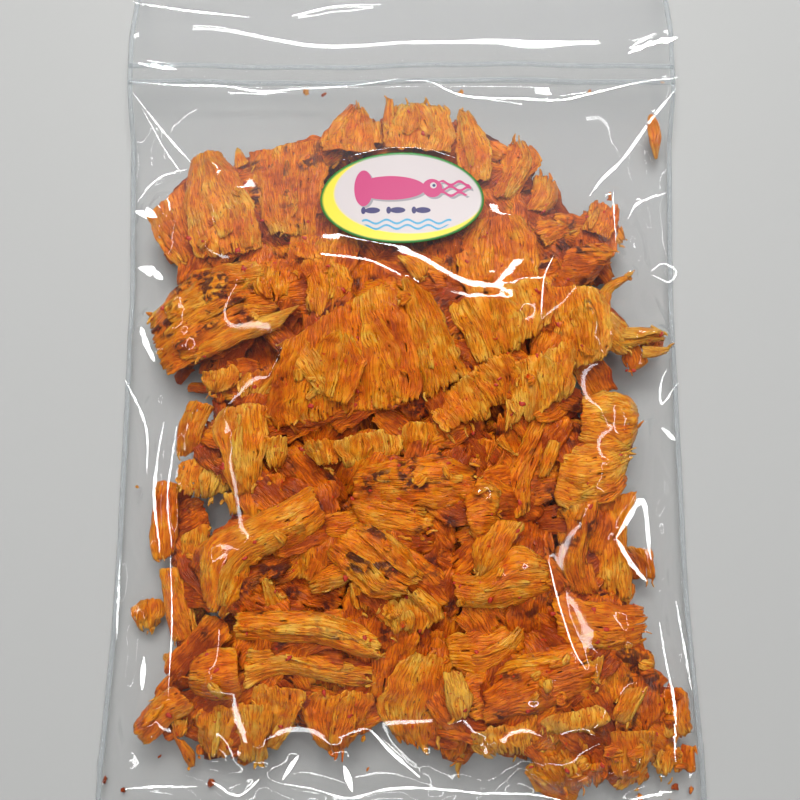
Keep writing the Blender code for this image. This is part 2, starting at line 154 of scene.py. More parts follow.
FAN = [
    Flake(((-11.5, -23.5, 25, 22.5, 1), (-10, -30, 23.5, 21.5, 3), (-9.5, -35.5, 22, 16, 7)), curl=1.5,
          tone=0.25),
    Flake(((6.5, -20, 26, 12.5, -3), (7, -27, 24, 14, 4), (7, -33, 22.5, 12, 19)), tone=0.35),
    Flake(((-41, -24.5, 25, 10.5, -3), (-41.5, -30, 23.5, 8.5, -4), (-41, -36.5, 22, 4, 7)), tone=0.3),
    Flake(((-27.5, -25, 24.5, 13, -7), (-26, -30, 22.5, 11.5, -19), (-24, -36.5, 21, 7, -32)), comb=3,
          tone=0.35),
    Flake(((32, -25, 22, 4, 9), (34.5, -28.5, 21, 2.5, -27), (38, -31, 20, 0.5, -52)), comb=0.6, tone=0.2),
    Flake(((25.5, -25.5, 22, 14, 6), (25.5, -31.5, 21, 9, 0), (26.5, -35, 20, 4, -10)), tone=0.55),
    Flake(((-36, 7, 29, 5.5, 50), (-39.5, 3, 27, 6, 46)), tone=0.5),
    Flake(((57.5, 25.5, 27, 17.5, -12), (60.5, 11, 25.5, 19, -3), (61.5, -2, 23, 14, 10)), tone=0.3,
          char=0.3),
    Flake(((45.5, 4, 27.5, 25, 16), (46.5, -7.5, 26, 23.5, 23), (45.5, -20, 24, 25, 31)), comb=3.5,
          tone=0.33, char=0.1),
    Flake(((20, -4.5, 28, 31, 6), (25, -13.5, 27, 31.5, 1), (28, -20.5, 25, 27, 8)), comb=3, tone=0.38),
    Flake(((31, 24, 30.5, 34, -2), (35, 12.5, 29.5, 33, 9), (37, 2, 28, 29, 22)), arch=1.5, comb=2,
          tone=0.33),
    Flake(((-20.5, 17.5, 30, 42.5, 32), (-20, 4.5, 30, 47, 23), (-20, -8, 28.5, 52, 14),
          (-19.5, -20.5, 26.5, 52.5, 7)), arch=1.5, sag=1.5, lean=3, comb=2, tone=0.5, slits=0.14),
    Flake(((4, 25, 32, 13, -53), (9, 11.5, 31.5, 12.5, -27), (13, -2, 30, 15.5, -11),
          (16, -11.5, 28, 20.5, 12)), arch=2, comb=2.5, tone=0.42),
]

RIGHT_SIDE = [
    Flake(((48.5, -13.5, 21, 8.5, 8), (44, -26.5, 20, 9.5, 31), (38.5, -39, 19, 9, 13),
          (38, -52.5, 18.5, 8, 20)), arch=1.5, tone=0.5, char=0.3),
    Flake(((58, -19, 22, 14, -9), (68, -19, 20, 19, 0), (77.5, -19.5, 17, 15.5, -8),
          (81, -18, 14, 7.5, -26)), arch=3, comb=2, tone=0.4),
    Flake(((70, -43.5, 17, 16, 21), (68.5, -58, 16, 13.5, 23), (69, -71.5, 14, 14.5, 8),
          (70, -79, 12.5, 11.5, -6)), tone=0.45, char=0.15),
    Flake(((50.5, -36, 20, 20.5, -5), (60.5, -37.5, 21, 23.5, -10), (70, -35.5, 19, 20, -24),
          (77, -32, 15, 13.5, -38)), arch=3, tone=0.32, char=0.1),
    Flake(((58, -46, 21, 14, 14), (58, -55.5, 20, 8.5, 6), (56, -65, 18, 8.5, -4), (59, -77, 16, 7, -20)),
          arch=2.5, tone=0.5, char=0.35),
    Flake(((79, -60.5, 10, 9.5, -34), (82, -66, 9, 6, -30), (83, -72.5, 8, 4, -12)), tone=0.55),
    Flake(((50.5, -26, 23, 4.5, 7), (48.5, -33, 22, 4.5, 10), (46, -39, 21, 2.5, 7)), arch=1.5, tone=0.4),
    Flake(((79, 8, 14, 6, -8), (80, 2, 13, 8, -3), (79.5, -1.5, 12, 1.5, 7)), tone=0.55),
    Flake(((82, 5.5, 15, 4.5, -3), (87, 5.5, 14, 4, -8), (93, 6.5, 13, 1.5, -12)), arch=1.5, comb=0.8,
          tone=0.25),
    Flake(((68, 10, 20, 12, -4), (77.5, 9.5, 18, 6.5, 0), (85, 11, 16, 5.5, -7), (92, 11, 14, 2.5, -3)),
          arch=2, tone=0.25),
    Flake(((67, 18.5, 22, 8.5, 8), (70, 25.5, 20, 5, 27), (75, 29.5, 18, 3, 3), (79.5, 32, 16.5, 1.5, 9)),
          arch=1.5, comb=0.8, tone=0.35),
    Flake(((68.5, 13.5, 22, 13.5, 24), (72.5, 10.5, 20, 11.5, 19), (78, 7, 17, 10, 23)), arch=2, tone=0.22),
    Flake(((91, 96, 8, 2.5, 19), (92.5, 90, 7.5, 5, 2), (93, 83, 7, 3, -22), (93.5, 79, 6.5, 0.5, -9)),
          arch=0.8, comb=0.6, tone=0.4),
]

TOP_RIGHT = [
    Flake(((68.5, 45.5, 15, 9.5, -8), (71.5, 55.5, 13.5, 11.5, 9), (73.5, 63, 12, 10.5, 10)), comb=3.5,
          tone=0.55, char=0.2),
    Flake(((76, 50, 12, 7, 43), (79, 45.5, 11, 4, 12)), tone=0.45),
    Flake(((45.5, 44, 22, 9, 4), (54, 47.5, 19, 7.5, -10), (59.5, 50, 16, 4.5, 10)), comb=3, tone=0.55),
    Flake(((38, 44, 22, 8.5, 21), (40, 52.5, 20, 8.5, 14)), tone=0.7, char=0.4),
    Flake(((53, 32.5, 23, 12, -28), (63, 34, 21, 16.5, -25), (71.5, 36, 18, 11.5, -47)), arch=3, tone=0.65,
          char=0.5),
    Flake(((45.5, 53.5, 18, 8.5, 30), (50, 60.5, 16, 9.5, 9), (51.5, 69.5, 14, 8.5, -9)), arch=3, tone=0.4),
    Flake(((34, 57, 20, 7, 12), (39.5, 67.5, 18, 10, 16), (43, 77.5, 15, 13.5, -4), (41.5, 84, 13, 5, -11)),
          arch=2, comb=3, tone=0.4),
    Flake(((14, 42, 25, 15.5, 12), (14, 33, 26, 12.5, 4), (14, 24.5, 26, 7.5, -5)), tone=0.75, char=0.5),
    Flake(((32.5, 50.5, 25, 15.5, 3), (32.5, 40.5, 26, 26.5, 3), (33, 29.5, 28, 27, -1),
          (34, 20, 29, 22.5, -2)), arch=2, comb=2, tone=0.5),
    Flake(((0, 36, 27, 5, -24), (5.5, 31, 28.5, 7.5, -12), (7.5, 26.5, 29, 4, 26)), comb=0.8, tone=0.45),
]

TOP_LEFT = [
    Flake(((26, 62, 22, 10, 10), (25.5, 77.5, 18, 12.5, -4), (24, 89, 14, 8.5, -8), (22.5, 98, 12, 3, -8)),
          comb=3, tone=0.38, arch=1.5),
    Flake(((6, 74, 22, 21.5, 3), (6.5, 84, 18, 25, -5), (6, 95, 14, 21.5, -8), (5, 99.5, 12, 18, -16)),
          comb=3, tone=0.33, arch=2),
    Flake(((-3.5, 76.5, 20, 5.5, -4), (-4.5, 91, 16, 4.5, 25), (-4, 100.5, 13, 2, -7)), comb=1, tone=0.4),
    Flake(((-8.5, 79, 19, 4, -1), (-8.5, 90.5, 15, 2, -1)), comb=1, tone=0.45),
    Flake(((-18.5, 74, 22, 18.5, -2), (-18.5, 83.5, 18, 19, 11), (-17, 92, 15, 11.5, 16),
          (-16, 97.5, 13.5, 3.5, 10)), tone=0.45),
    Flake(((-84.5, 61.5, 13, 18.5, 18), (-79.5, 49.5, 14, 15, 24), (-73.5, 36, 15, 7, 0)), tone=0.5,
          char=0.2),
    Flake(((-40, 81.5, 15, 29.5, 5), (-39, 68, 18, 25, 4), (-38, 54, 21, 21, 4),
          (-36.5, 43, 23.5, 16.5, -12)), arch=1.5, tone=0.5, char=0.35),
    Flake(((-56.5, 71.5, 17, 6.5, 20), (-58.5, 81, 13, 1.5, -29)), comb=0.8, tone=0.4),
    Flake(((-70.5, 78, 14, 10, -10), (-66.5, 64.5, 17.5, 20, -6), (-62, 48.5, 20, 25, -8),
          (-59, 36.5, 21, 23, -7)), arch=3, lean=3, tone=0.38, char=0.15),
]

LEFT_SIDE = [
    Flake(((-27, 45, 22.5, 24, 0), (-27, 35, 24, 25, 0), (-28, 28, 25, 22, 0)), tone=0.6, char=0.2),
    Flake(((-24, 60, 20, 26, 0), (-23, 47, 21, 30, 0), (-22, 34, 22.5, 26, 0)), tone=0.7, char=0.25),
    Flake(((-3, 58, 20, 30, 0), (0, 46, 21, 32, 0), (3, 31, 23, 28, 0)), tone=0.78, char=0.3),
    Flake(((22, 62, 20, 20, 0), (25, 50, 20, 24, 0), (24, 36, 21, 22, 0)), tone=0.72, char=0.2),
    Flake(((-10.5, 33.5, 25, 13.5, 0), (-10, 25, 26, 13.5, 4), (-9.5, 18.5, 26.5, 8.5, -2)), tone=0.85,
          char=0.5),
    Flake(((-42, 35.5, 24, 15.5, 15), (-43, 27, 25, 16, 5), (-41.5, 20.5, 25.5, 10, -11)), tone=0.6),
    Flake(((-26.5, 35, 25.5, 15.5, -19), (-24.5, 23.5, 27, 15, -5), (-25, 14, 28, 9.5, 8)), tone=0.45,
          char=0.2),
    Flake(((-42.5, 23.5, 23, 24, 15), (-56, 21.5, 21, 26.5, 0), (-69.5, 16.5, 18, 30.5, -12),
          (-81, 10.5, 14, 25.5, -15), (-86.5, 7, 11, 22.5, -9)), arch=3, comb=2, tone=0.48, char=0.5),
    Flake(((-36.5, 14.5, 27, 10, -52), (-51.5, 10.5, 24, 6.5, -31), (-63.5, 6, 21, 6.5, -7),
          (-71.5, 4, 18, 6, -6)), arch=2, tone=0.28),
    Flake(((-61, 0, 20, 10.5, 20), (-61.5, -5, 19, 13, 11), (-64, -11, 18.5, 2.5, -1)), comb=3, tone=0.45),
    Flake(((-46, -2, 24, 15, 32), (-48, -8, 23, 12.5, 16), (-49.5, -13.5, 22, 8.5, 13)), comb=3, tone=0.4),
    Flake(((-66.5, -12.5, 20, 8.5, 10), (-70, -22.5, 19, 9, 18), (-71.5, -31.5, 17, 8, 20)), arch=2,
          tone=0.4),
    Flake(((-64.5, -31, 18, 18.5, 8), (-65.5, -39, 17, 18, 11), (-67, -46, 15.5, 16.5, 4)), comb=2.5,
          tone=0.3),
    Flake(((-45.5, -37.5, 22, 15, 13), (-45.5, -46.5, 21.5, 14.5, 8), (-46, -54.5, 21, 10, 13)), tone=0.5,
          char=0.3),
    Flake(((-53, -14.5, 25, 14.5, 8), (-53, -23.5, 25, 16.5, -1), (-52, -34, 24, 13, 0),
          (-50.5, -44.5, 22, 7.5, 12)), arch=2.5, tone=0.3),
    Flake(((-55.5, -42.5, 20, 8, -6), (-55, -47.5, 19.5, 4, 8), (-55.5, -51.5, 19, 2, -5)), tone=0.4),
    Flake(((-68.5, -53.5, 12, 10.5, 27), (-69.5, -62, 11, 8.5, 10), (-70, -70, 10.5, 6, 3)), tone=0.5),
    Flake(((-78.5, -38, 13, 7.5, 1), (-79.5, -48.5, 12, 8.5, 4), (-80, -59, 11, 8.5, 5),
          (-79.5, -66, 10.5, 6, 14)), arch=1.5, tone=0.5, char=0.3),
    Flake(((-77, -67, 11, 8, -6), (-74.5, -79, 11, 9, -5), (-70.5, -92, 11, 8.5, -7)), arch=1.5, tone=0.4),
    Flake(((-84.5, -77, 7, 6.5, 11), (-85, -83.5, 6.5, 11, -2), (-85, -89.5, 5.5, 5.5, 31)), tone=0.35),
    Flake(((-77, -93.5, 9, 6, 11), (-76.5, -100.5, 8, 3.5, -5)), comb=2.5, tone=0.3),
]

MIDDLE = [
    Flake(((-29, -56, 21, 8.5, 20), (-29.5, -65, 21, 13, 7), (-31, -72.5, 20, 9, 4)), arch=3, tone=0.5),
    Flake(((-25, -46, 24, 13.5, -14), (-35, -53, 25, 14.5, -9), (-48, -59, 25, 14, 2),
          (-56, -64.5, 23.5, 17, 4), (-58.5, -74.5, 21.5, 15, -7), (-61, -82.5, 19.5, 9, -30)), arch=4,
          comb=3, tone=0.38),
    Flake(((-44, -70, 23, 2.5, -63), (-42, -75.5, 22, 4.5, -1), (-39.5, -81, 20, 8, -11)), arch=0.8,
          tone=0.38),
    Flake(((-16.5, -68.5, 24, 7, -5), (-24.5, -71, 22, 8.5, -18), (-30.5, -73.5, 20, 5.5, -12)), arch=2,
          tone=0.3),
    Flake(((-0.5, -76, 24, 16, -4), (1.5, -83, 23, 16.5, -3), (1.5, -90.5, 20.5, 12, 2)), arch=2, comb=3.5,
          tone=0.28),
    Flake(((-13.5, -71, 24, 8.5, -25), (-11.5, -77.5, 22.5, 9, -20), (-10.5, -82.5, 21, 4.5, 16)), arch=1.5,
          comb=2, tone=0.35),
    Flake(((3, -74.5, 25, 5, -10), (9.5, -80.5, 23, 6, -17), (12, -86, 20.5, 5.5, 1)), arch=2.5, tone=0.38),
    Flake(((-21, -57.5, 24, 14, -12), (-11, -63.5, 26, 19, -1), (-1.5, -70.5, 26, 18.5, -9),
          (5.5, -73.5, 24.5, 12.5, -24)), arch=4, comb=3, lumps=0.9, tone=0.38, char=0.38),
    Flake(((-17.5, -48.5, 23, 7.5, 40), (-9, -50.5, 24, 10.5, -3), (2, -52.5, 24, 13, -4),
          (12, -54.5, 22, 15.5, -14)), arch=2.5, comb=3, lumps=0.9, tone=0.42, char=0.25),
    Flake(((-16.5, -41, 24, 10, -11), (-6, -40.5, 25.5, 13.5, -5), (7, -40, 26, 17, -3),
          (18.5, -40, 25, 17, 6), (27, -40.5, 23, 10.5, 14)), arch=3, comb=2, lumps=1.1, tone=0.5,
          char=0.5),
    Flake(((15, -50.5, 22, 3, 8), (13.5, -60.5, 20, 1.5, 19)), comb=0.8, tone=0.3),
    Flake(((20, -49.5, 24, 12.5, 2), (25.5, -49, 24.5, 20.5, -2), (32, -49.5, 22, 11, -6)), arch=6,
          tone=0.5),
    Flake(((23.5, -57, 23, 3, 14), (21.5, -65.5, 22, 3.5, 22), (20.5, -71.5, 20, 1.5, 8)), tone=0.5),
    Flake(((34, -52, 24, 14, 27), (29, -61, 25, 13, 22), (25.5, -69, 24, 4.5, 5),
          (24.5, -71, 22.5, 1.5, 5)), arch=2.5, tone=0.35),
    Flake(((11, -66, 21, 8.5, 51), (18.5, -70.5, 22, 14.5, 24)), tone=0.75),
    Flake(((15.5, -74, 22, 11, 14), (24.5, -75, 24, 10.5, -8), (36, -70, 24.5, 19, -13),
          (48.5, -70, 22, 9.5, 8)), arch=4, comb=2.5, slits=0.2, tone=0.45),
    Flake(((36.5, -79.5, 20, 19.5, -4), (37.5, -84, 19, 18, 5), (36.5, -89, 17.5, 10.5, 10)), comb=3,
          tone=0.55),
    Flake(((47.5, -77.5, 20, 7, 11), (47, -84, 19, 6, 18), (46, -90.5, 18, 3, 6)), comb=3, tone=0.35),
]

BOTTOM_LEFT = [
    Flake(((-19, -105.5, 18, 19, 16), (-21, -113.5, 15.5, 22, 10), (-21.5, -123.5, 12, 11, 3),
          (-20.5, -128, 9, 5, -10)), arch=1.5, comb=2.5, tone=0.48),
    Flake(((-15, -116, 14, 10, 26), (-14, -122.5, 11, 5.5, 6)), comb=3, tone=0.5),
    Flake(((-57.5, -109.5, 17, 15.5, 8), (-58.5, -119.5, 14, 13.5, 15), (-60.5, -129, 10, 7.5, -5)),
          comb=2.5, tone=0.35),
    Flake(((-47, -109, 19, 13.5, 3), (-47.5, -121.5, 15, 10, 3), (-48, -131, 10, 8, 9)), comb=2, tone=0.28),
    Flake(((-40, -103, 20, 16, -6), (-39.5, -111, 18, 16, 2), (-41.5, -120, 14, 9, -1),
          (-43.5, -126.5, 11, 3, -2)), comb=3, slits=0.25, tone=0.33),
    Flake(((-71.5, -115, 12, 6, 16), (-72.5, -123, 10, 4, 15)), comb=2.5, tone=0.45),
    Flake(((-73, -121.5, 10, 3.5, -46), (-69, -128.5, 8, 4, -21), (-68.5, -132.5, 6.5, 1.5, 6)), comb=0.8,
          tone=0.45),
    Flake(((-65.5, -123, 9, 3, 23), (-65.5, -128.5, 7.5, 2.5, -1)), tone=0.8),
    Flake(((-68, -108, 15, 10.5, 10), (-76, -112.5, 13, 10, -1), (-83.5, -119.5, 11, 9, -6),
          (-87.5, -122, 9, 5.5, -2)), arch=3.5, comb=2, tone=0.5),
    Flake(((-50.5, -99.5, 21, 15.5, 0), (-60, -101, 20, 16, -1), (-68, -102, 16, 9.5, -8)), arch=5,
          comb=0.8, ridge=0.2, tone=0.58),
    Flake(((-50.5, -99, 20, 14, -12), (-38, -97, 20, 8.5, -8), (-23, -99.5, 18, 8, 10),
          (-8, -102, 16, 9, 16)), arch=2.5, comb=3, tone=0.33, char=0.15),
    Flake(((-54.5, -86, 20, 8.5, 1), (-38.5, -86, 22, 10, 0), (-23.5, -87, 22, 10, 1),
          (-13, -90.5, 21, 10, 13), (-4, -92.5, 19, 8, 20)), arch=4, comb=3, tone=0.35, char=0.3),
]

BOTTOM_RIGHT = [
    Flake(((19, -116.5, 14, 10.5, 36), (17.5, -123, 11, 9, 23), (15.5, -131, 8, 4, 21)), comb=3, tone=0.45),
    Flake(((19.5, -126.5, 7, 3.5, 20), (18, -134, 5, 1.5, -26)), comb=0.8, tone=0.35),
    Flake(((8.5, -93.5, 20, 14.5, 15), (5, -105, 19, 19, 10), (3, -114, 16, 21.5, -16),
          (5, -126, 12, 12.5, -23)), arch=1.5, comb=3, slits=0.15, tone=0.4),
    Flake(((14.5, -95, 18, 11.5, 23), (23.5, -95, 20, 17, -2), (33, -91.5, 20, 13, -32),
          (39.5, -85.5, 19, 8, -25)), arch=3.5, tone=0.45),
    Flake(((71, -91.5, 18, 17, -11), (73, -98.5, 15.5, 18, -14), (74, -104.5, 13, 11.5, -15)), comb=3,
          slits=0.35, tone=0.55, char=0.3),
    Flake(((48, -83.5, 21, 16.5, 18), (60, -86, 21, 15, 6), (71, -86.5, 18, 15, -4),
          (80.5, -85.5, 14, 11, -11)), arch=3, comb=2, slits=0.15, tone=0.55),
    Flake(((46, -125.5, 14, 10.5, -6), (50, -132.5, 11, 18.5, -20), (52, -139, 8, 11.5, -26)), comb=3,
          tone=0.5),
    Flake(((57, -122.5, 15, 13, -14), (60.5, -131.5, 12, 13.5, -3), (62, -138.5, 8, 5, -3)), comb=3,
          tone=0.65),
    Flake(((76.5, -132, 8, 12, 46), (72.5, -139.5, 6, 10, 35)), comb=2.5, tone=0.4),
    Flake(((72.5, -118, 15, 18, -7), (74, -126, 12.5, 14.5, 3), (73, -135, 9, 8, 12)), tone=0.4),
    Flake(((85, -105.5, 11, 12, 3), (87.5, -115.5, 10, 13, -11), (90.5, -123, 8, 12, -9)), comb=2.5,
          tone=0.5),
    Flake(((87.5, -124, 9, 6.5, 13), (86.5, -130.5, 8, 9, 3), (86.5, -136, 6.5, 5, -9)), comb=3, slits=0.4,
          tone=0.35),
    Flake(((93.5, -124, 7, 5, -12), (93.5, -134, 6, 5.5, -10)), tone=0.8, char=0.4),
    Flake(((75.5, -104, 18, 8, 34), (71.5, -111, 18.5, 9, 33), (69, -116.5, 17, 5, 14)), arch=3, tone=0.33),
    Flake(((33, -114.5, 21, 22.5, 4), (34, -121, 18, 22.5, -3), (35.5, -128, 14, 17.5, -8)), comb=3,
          slits=0.25, tone=0.25),
    Flake(((54, -110.5, 24, 17, 7), (54.5, -115.5, 23.5, 20, 4), (54.5, -119, 21.5, 18, 11)), arch=1.5,
          comb=1, tone=0.15),
    Flake(((24.5, -110, 18, 14, -29), (35, -105, 22, 18, -17), (47.5, -101.5, 23, 17.5, -11),
          (62.5, -98, 21, 15.5, -15)), arch=5, comb=3, tone=0.6, char=0.3),
    Flake(((61, -94.5, 24, 7.5, 35), (60, -100.5, 23, 5, 14), (60.5, -106, 22, 3, 7)), comb=3, tone=0.25),
    Flake(((15.5, -98.5, 25, 5.5, -9), (17.5, -106, 24.5, 8, -5), (18.5, -110, 23.5, 8.5, 16),
          (19, -115.5, 22, 4, 23)), arch=2, comb=2, tone=0.12),
]

PLACED = {
    Zone.FAN: FAN,
    Zone.RIGHT: RIGHT_SIDE,
    Zone.TOP: TOP_LEFT + TOP_RIGHT,
    Zone.LEFT: LEFT_SIDE,
    Zone.MIDDLE: MIDDLE,
    Zone.FOOT_LEFT: BOTTOM_LEFT,
    Zone.FOOT_RIGHT: BOTTOM_RIGHT,
}


def smooth_step(low: float, high: float, value: np.ndarray) -> np.ndarray:
    """A smooth S from 0 at low to 1 at high."""
    t = np.clip((value - low) / (high - low), 0.0, 1.0)
    return t * t * (3.0 - 2.0 * t)


def unit(rows: np.ndarray) -> np.ndarray:
    """Each row of numbers, scaled to a length of 1."""
    return rows / np.maximum(np.linalg.norm(rows, axis=-1, keepdims=True), 1e-9)


def compass(angle: float) -> np.ndarray:
    """A step of length 1 at an angle in radians from +X towards +Y."""
    return np.array([math.cos(angle), math.sin(angle)])


def half_width(y: np.ndarray) -> np.ndarray:
    """Half the bag's width at each y: full sides that draw in a little beside the food."""
    beside = smooth_step(*WAIST_FOOT, y) * (1.0 - smooth_step(*WAIST_HEAD, y))
    return BAG_WIDTH / 2 - WAIST_PULL * beside


def spline(knots: np.ndarray, values: np.ndarray, at: np.ndarray) -> np.ndarray:
    """A smooth line through values at knots, read at any places.

    Args:
        knots: rising places of the known values.
        values: the known values.
        at: where to read the line.

    Returns:
        Cubic Hermite values whose slopes at the knots are the slopes between their neighbours.
    """
    slope = np.gradient(values, knots)
    k = np.clip(np.searchsorted(knots, at, side="right") - 1, 0, len(knots) - 2)
    span = knots[k + 1] - knots[k]
    t = (at - knots[k]) / span
    low = values[k] * (1 + 2 * t) * (1 - t) ** 2 + slope[k] * span * t * (1 - t) ** 2
    high = values[k + 1] * t**2 * (3 - 2 * t) + slope[k + 1] * span * t**2 * (t - 1)
    return low + high


class Noise:
    """Smooth seeded value noise from -1 to 1 on a lattice that repeats."""

    LATTICE = 128

    def __init__(self, rng: np.random.Generator) -> None:
        """Draws the lattice's values from rng."""
        self.table = rng.uniform(-1.0, 1.0, (self.LATTICE, self.LATTICE))
        self.shift = rng.uniform(0.0, self.LATTICE, 2)

    def at(self, x: np.ndarray, y: np.ndarray) -> np.ndarray:
        """Value at each point, blended with a smooth S between the four lattice points.

        Args:
            x: places along the first side of the lattice, in its cells.
            y: places along the second side, which may be one number for a row.

        Returns:
            The values, shaped like x and y together.
        """
        x, y = np.broadcast_arrays(x + self.shift[0], y + self.shift[1])
        column, row = np.floor(x).astype(int), np.floor(y).astype(int)
        s, t = smooth_step(0, 1, x - column), smooth_step(0, 1, y - row)
        c0, c1 = column % self.LATTICE, (column + 1) % self.LATTICE
        r0, r1 = row % self.LATTICE, (row + 1) % self.LATTICE
        low = self.table[r0, c0] * (1 - s) + self.table[r0, c1] * s
        high = self.table[r1, c0] * (1 - s) + self.table[r1, c1] * s
        return low * (1 - t) + high * t


@dataclass
class Skin:
    """Points, faces and per-point values of a mesh that is being put together."""

    points: np.ndarray
    quads: np.ndarray
    uv: np.ndarray
    values: dict[str, np.ndarray] = field(default_factory=dict)
    tris: np.ndarray = field(default_factory=lambda: np.zeros((0, 3), int))

    @staticmethod
    def joined(skins: list[Skin]) -> Skin:
        """All the skins as one, with their corners renumbered.

        Args:
            skins: the skins, all with the same values.

        Returns:
            One skin of them all.
        """
        starts = np.cumsum([0] + [len(s.points) for s in skins[:-1]])
        return Skin(
            points=np.concatenate([s.points for s in skins]),
            quads=np.concatenate([s.quads + k for s, k in zip(skins, starts)]),
            tris=np.concatenate([s.tris + k for s, k in zip(skins, starts)]),
            uv=np.concatenate([s.uv for s in skins]),
            values={
                key: np.concatenate([s.values[key] for s in skins]) for key in skins[0].values
            },
        )

    def without_loose_points(self) -> Skin:
        """The same skin with the points that no face uses taken out.

        Returns:
            A skin with the same faces.
        """
        corners = np.concatenate([self.quads.ravel(), self.tris.ravel()])
        used, back = np.unique(corners, return_inverse=True)
        split = self.quads.size
        return Skin(
            points=self.points[used],
            quads=back[:split].reshape(-1, 4),
            tris=back[split:].reshape(-1, 3),
            uv=self.uv[used],
            values={key: value[used] for key, value in self.values.items()},
        )

    def to_object(
        self, name: str, material: bpy.types.Material, smooth: bool = True
    ) -> bpy.types.Object:
        """Makes the mesh object, in metres, with its UV map and point attributes.

        Args:
            name: the object's name.
            material: its one material.
            smooth: whether its faces are shaded as one rounded surface.

        Returns:
            The object, linked to the scene.
        """
        mesh = bpy.data.meshes.new(name)
        mesh.vertices.add(len(self.points))
        mesh.vertices.foreach_set("co", (self.points * MM).astype(np.float32).ravel())
        corners = np.concatenate([self.quads.ravel(), self.tris.ravel()]).astype(np.int32)
        mesh.loops.add(len(corners))
        mesh.loops.foreach_set("vertex_index", corners)
        starts = np.concatenate(
            [
                np.arange(len(self.quads)) * 4,
                self.quads.size + np.arange(len(self.tris)) * 3,
            ]
        )
        mesh.polygons.add(len(starts))
        mesh.polygons.foreach_set("loop_start", starts.astype(np.int32))
        mesh.polygons.foreach_set("use_smooth", np.full(len(starts), smooth))
        mesh.update(calc_edges=True)
        layer = mesh.uv_layers.new(name="fibres")
        layer.data.foreach_set("uv", self.uv[corners].astype(np.float32).ravel())
        for key, value in self.values.items():
            attribute = mesh.attributes.new(key, "FLOAT", "POINT")
            attribute.data.foreach_set("value", value.astype(np.float32))
        mesh.validate()
        mesh.materials.append(material)
        thing = bpy.data.objects.new(name, mesh)
        bpy.context.scene.collection.objects.link(thing)
        log.info("%s: %d points, %d faces", name, len(self.points), len(starts))
        return thing


def shell_faces(keep: np.ndarray) -> np.ndarray:
    """Quads of a closed shell over a grid of cells.

    The grid's points are numbered row by row, and the lower side's points follow the upper
    side's in the same order. Walls close every edge between a kept cell and an empty one.

    Args:
        keep: which cells are there, rows by columns.

    Returns:
        Corner numbers, four to a face, facing outwards where rows run ahead and columns left.
    """
    rows, columns = keep.shape[0] + 1, keep.shape[1] + 1
    count = rows * columns
    index = np.arange(count).reshape(rows, columns)
    a, b, c, d = index[:-1, :-1], index[:-1, 1:], index[1:, 1:], index[1:, :-1]
    padded = np.pad(keep, 1)
    sides = (
        (a, b, padded[:-2, 1:-1]),
        (b, c, padded[1:-1, 2:]),
        (c, d, padded[2:, 1:-1]),
        (d, a, padded[1:-1, :-2]),
    )
    faces = [
        np.stack([a, d, c, b], axis=-1)[keep],
        np.stack([a, b, c, d], axis=-1)[keep] + count,
    ]
    for start, end, beyond in sides:
        edge = keep & ~beyond
        p, q = start[edge], end[edge]
        faces.append(np.stack([p, q, q + count, p + count], axis=-1))
    return np.concatenate(faces)


def small_stations(
    places: np.ndarray, heights: np.ndarray, width: float, shares: tuple[float, ...]
) -> tuple[tuple[float, ...], ...]:
    """The stations of a small flake whose lines across it are all square."""
    return tuple((p[0], p[1], h, width * w, 0.0) for p, h, w in zip(places, heights, shares))


def plate(top: np.ndarray, low: np.ndarray) -> Skin:
    """A closed shell between an upper and a lower grid of points.

    Args:
        top: the upper points, in rows that run ahead and columns that run left.
        low: the lower points, laid out as the upper ones.

    Returns:
        The shell, with x and y as its UV map.
    """
    points = np.concatenate([top.reshape(-1, 3), low.reshape(-1, 3)])
    keep = np.ones((top.shape[0] - 1, top.shape[1] - 1), bool)
    return Skin(points=points, quads=shell_faces(keep), uv=points[:, :2] / UV_SIZE)


def inside_bag(points: np.ndarray) -> np.ndarray:
    """The points, with those beyond the bag's sides or under its back moved just inside it.

    Args:
        points: x, y and z in rows.

    Returns:
        New rows in the same order.
    """
    side = half_width(points[:, 1]) - SIDE_GAP
    x = np.clip(points[:, 0], -side, side)
    return np.stack([x, points[:, 1], np.maximum(points[:, 2], BACK_GAP)], axis=-1)


@dataclass(frozen=True)
class FlakeGrain:
    """Spacing of a flake's mesh and the sizes of what the noise draws into it.

    along and across are the mesh's steps. bundle, fibre and tuft are the widths of fibre
    bundles, of fibres and of the torn end's tufts. The sheet has its full thickness from rim
    inwards.
    """

    along: float = 0.95
    across: float = 0.46
    bundle: float = 2.3
    fibre: float = 0.95
    tuft: float = 1.7
    thickness: float = 1.25
    rim: float = 1.6


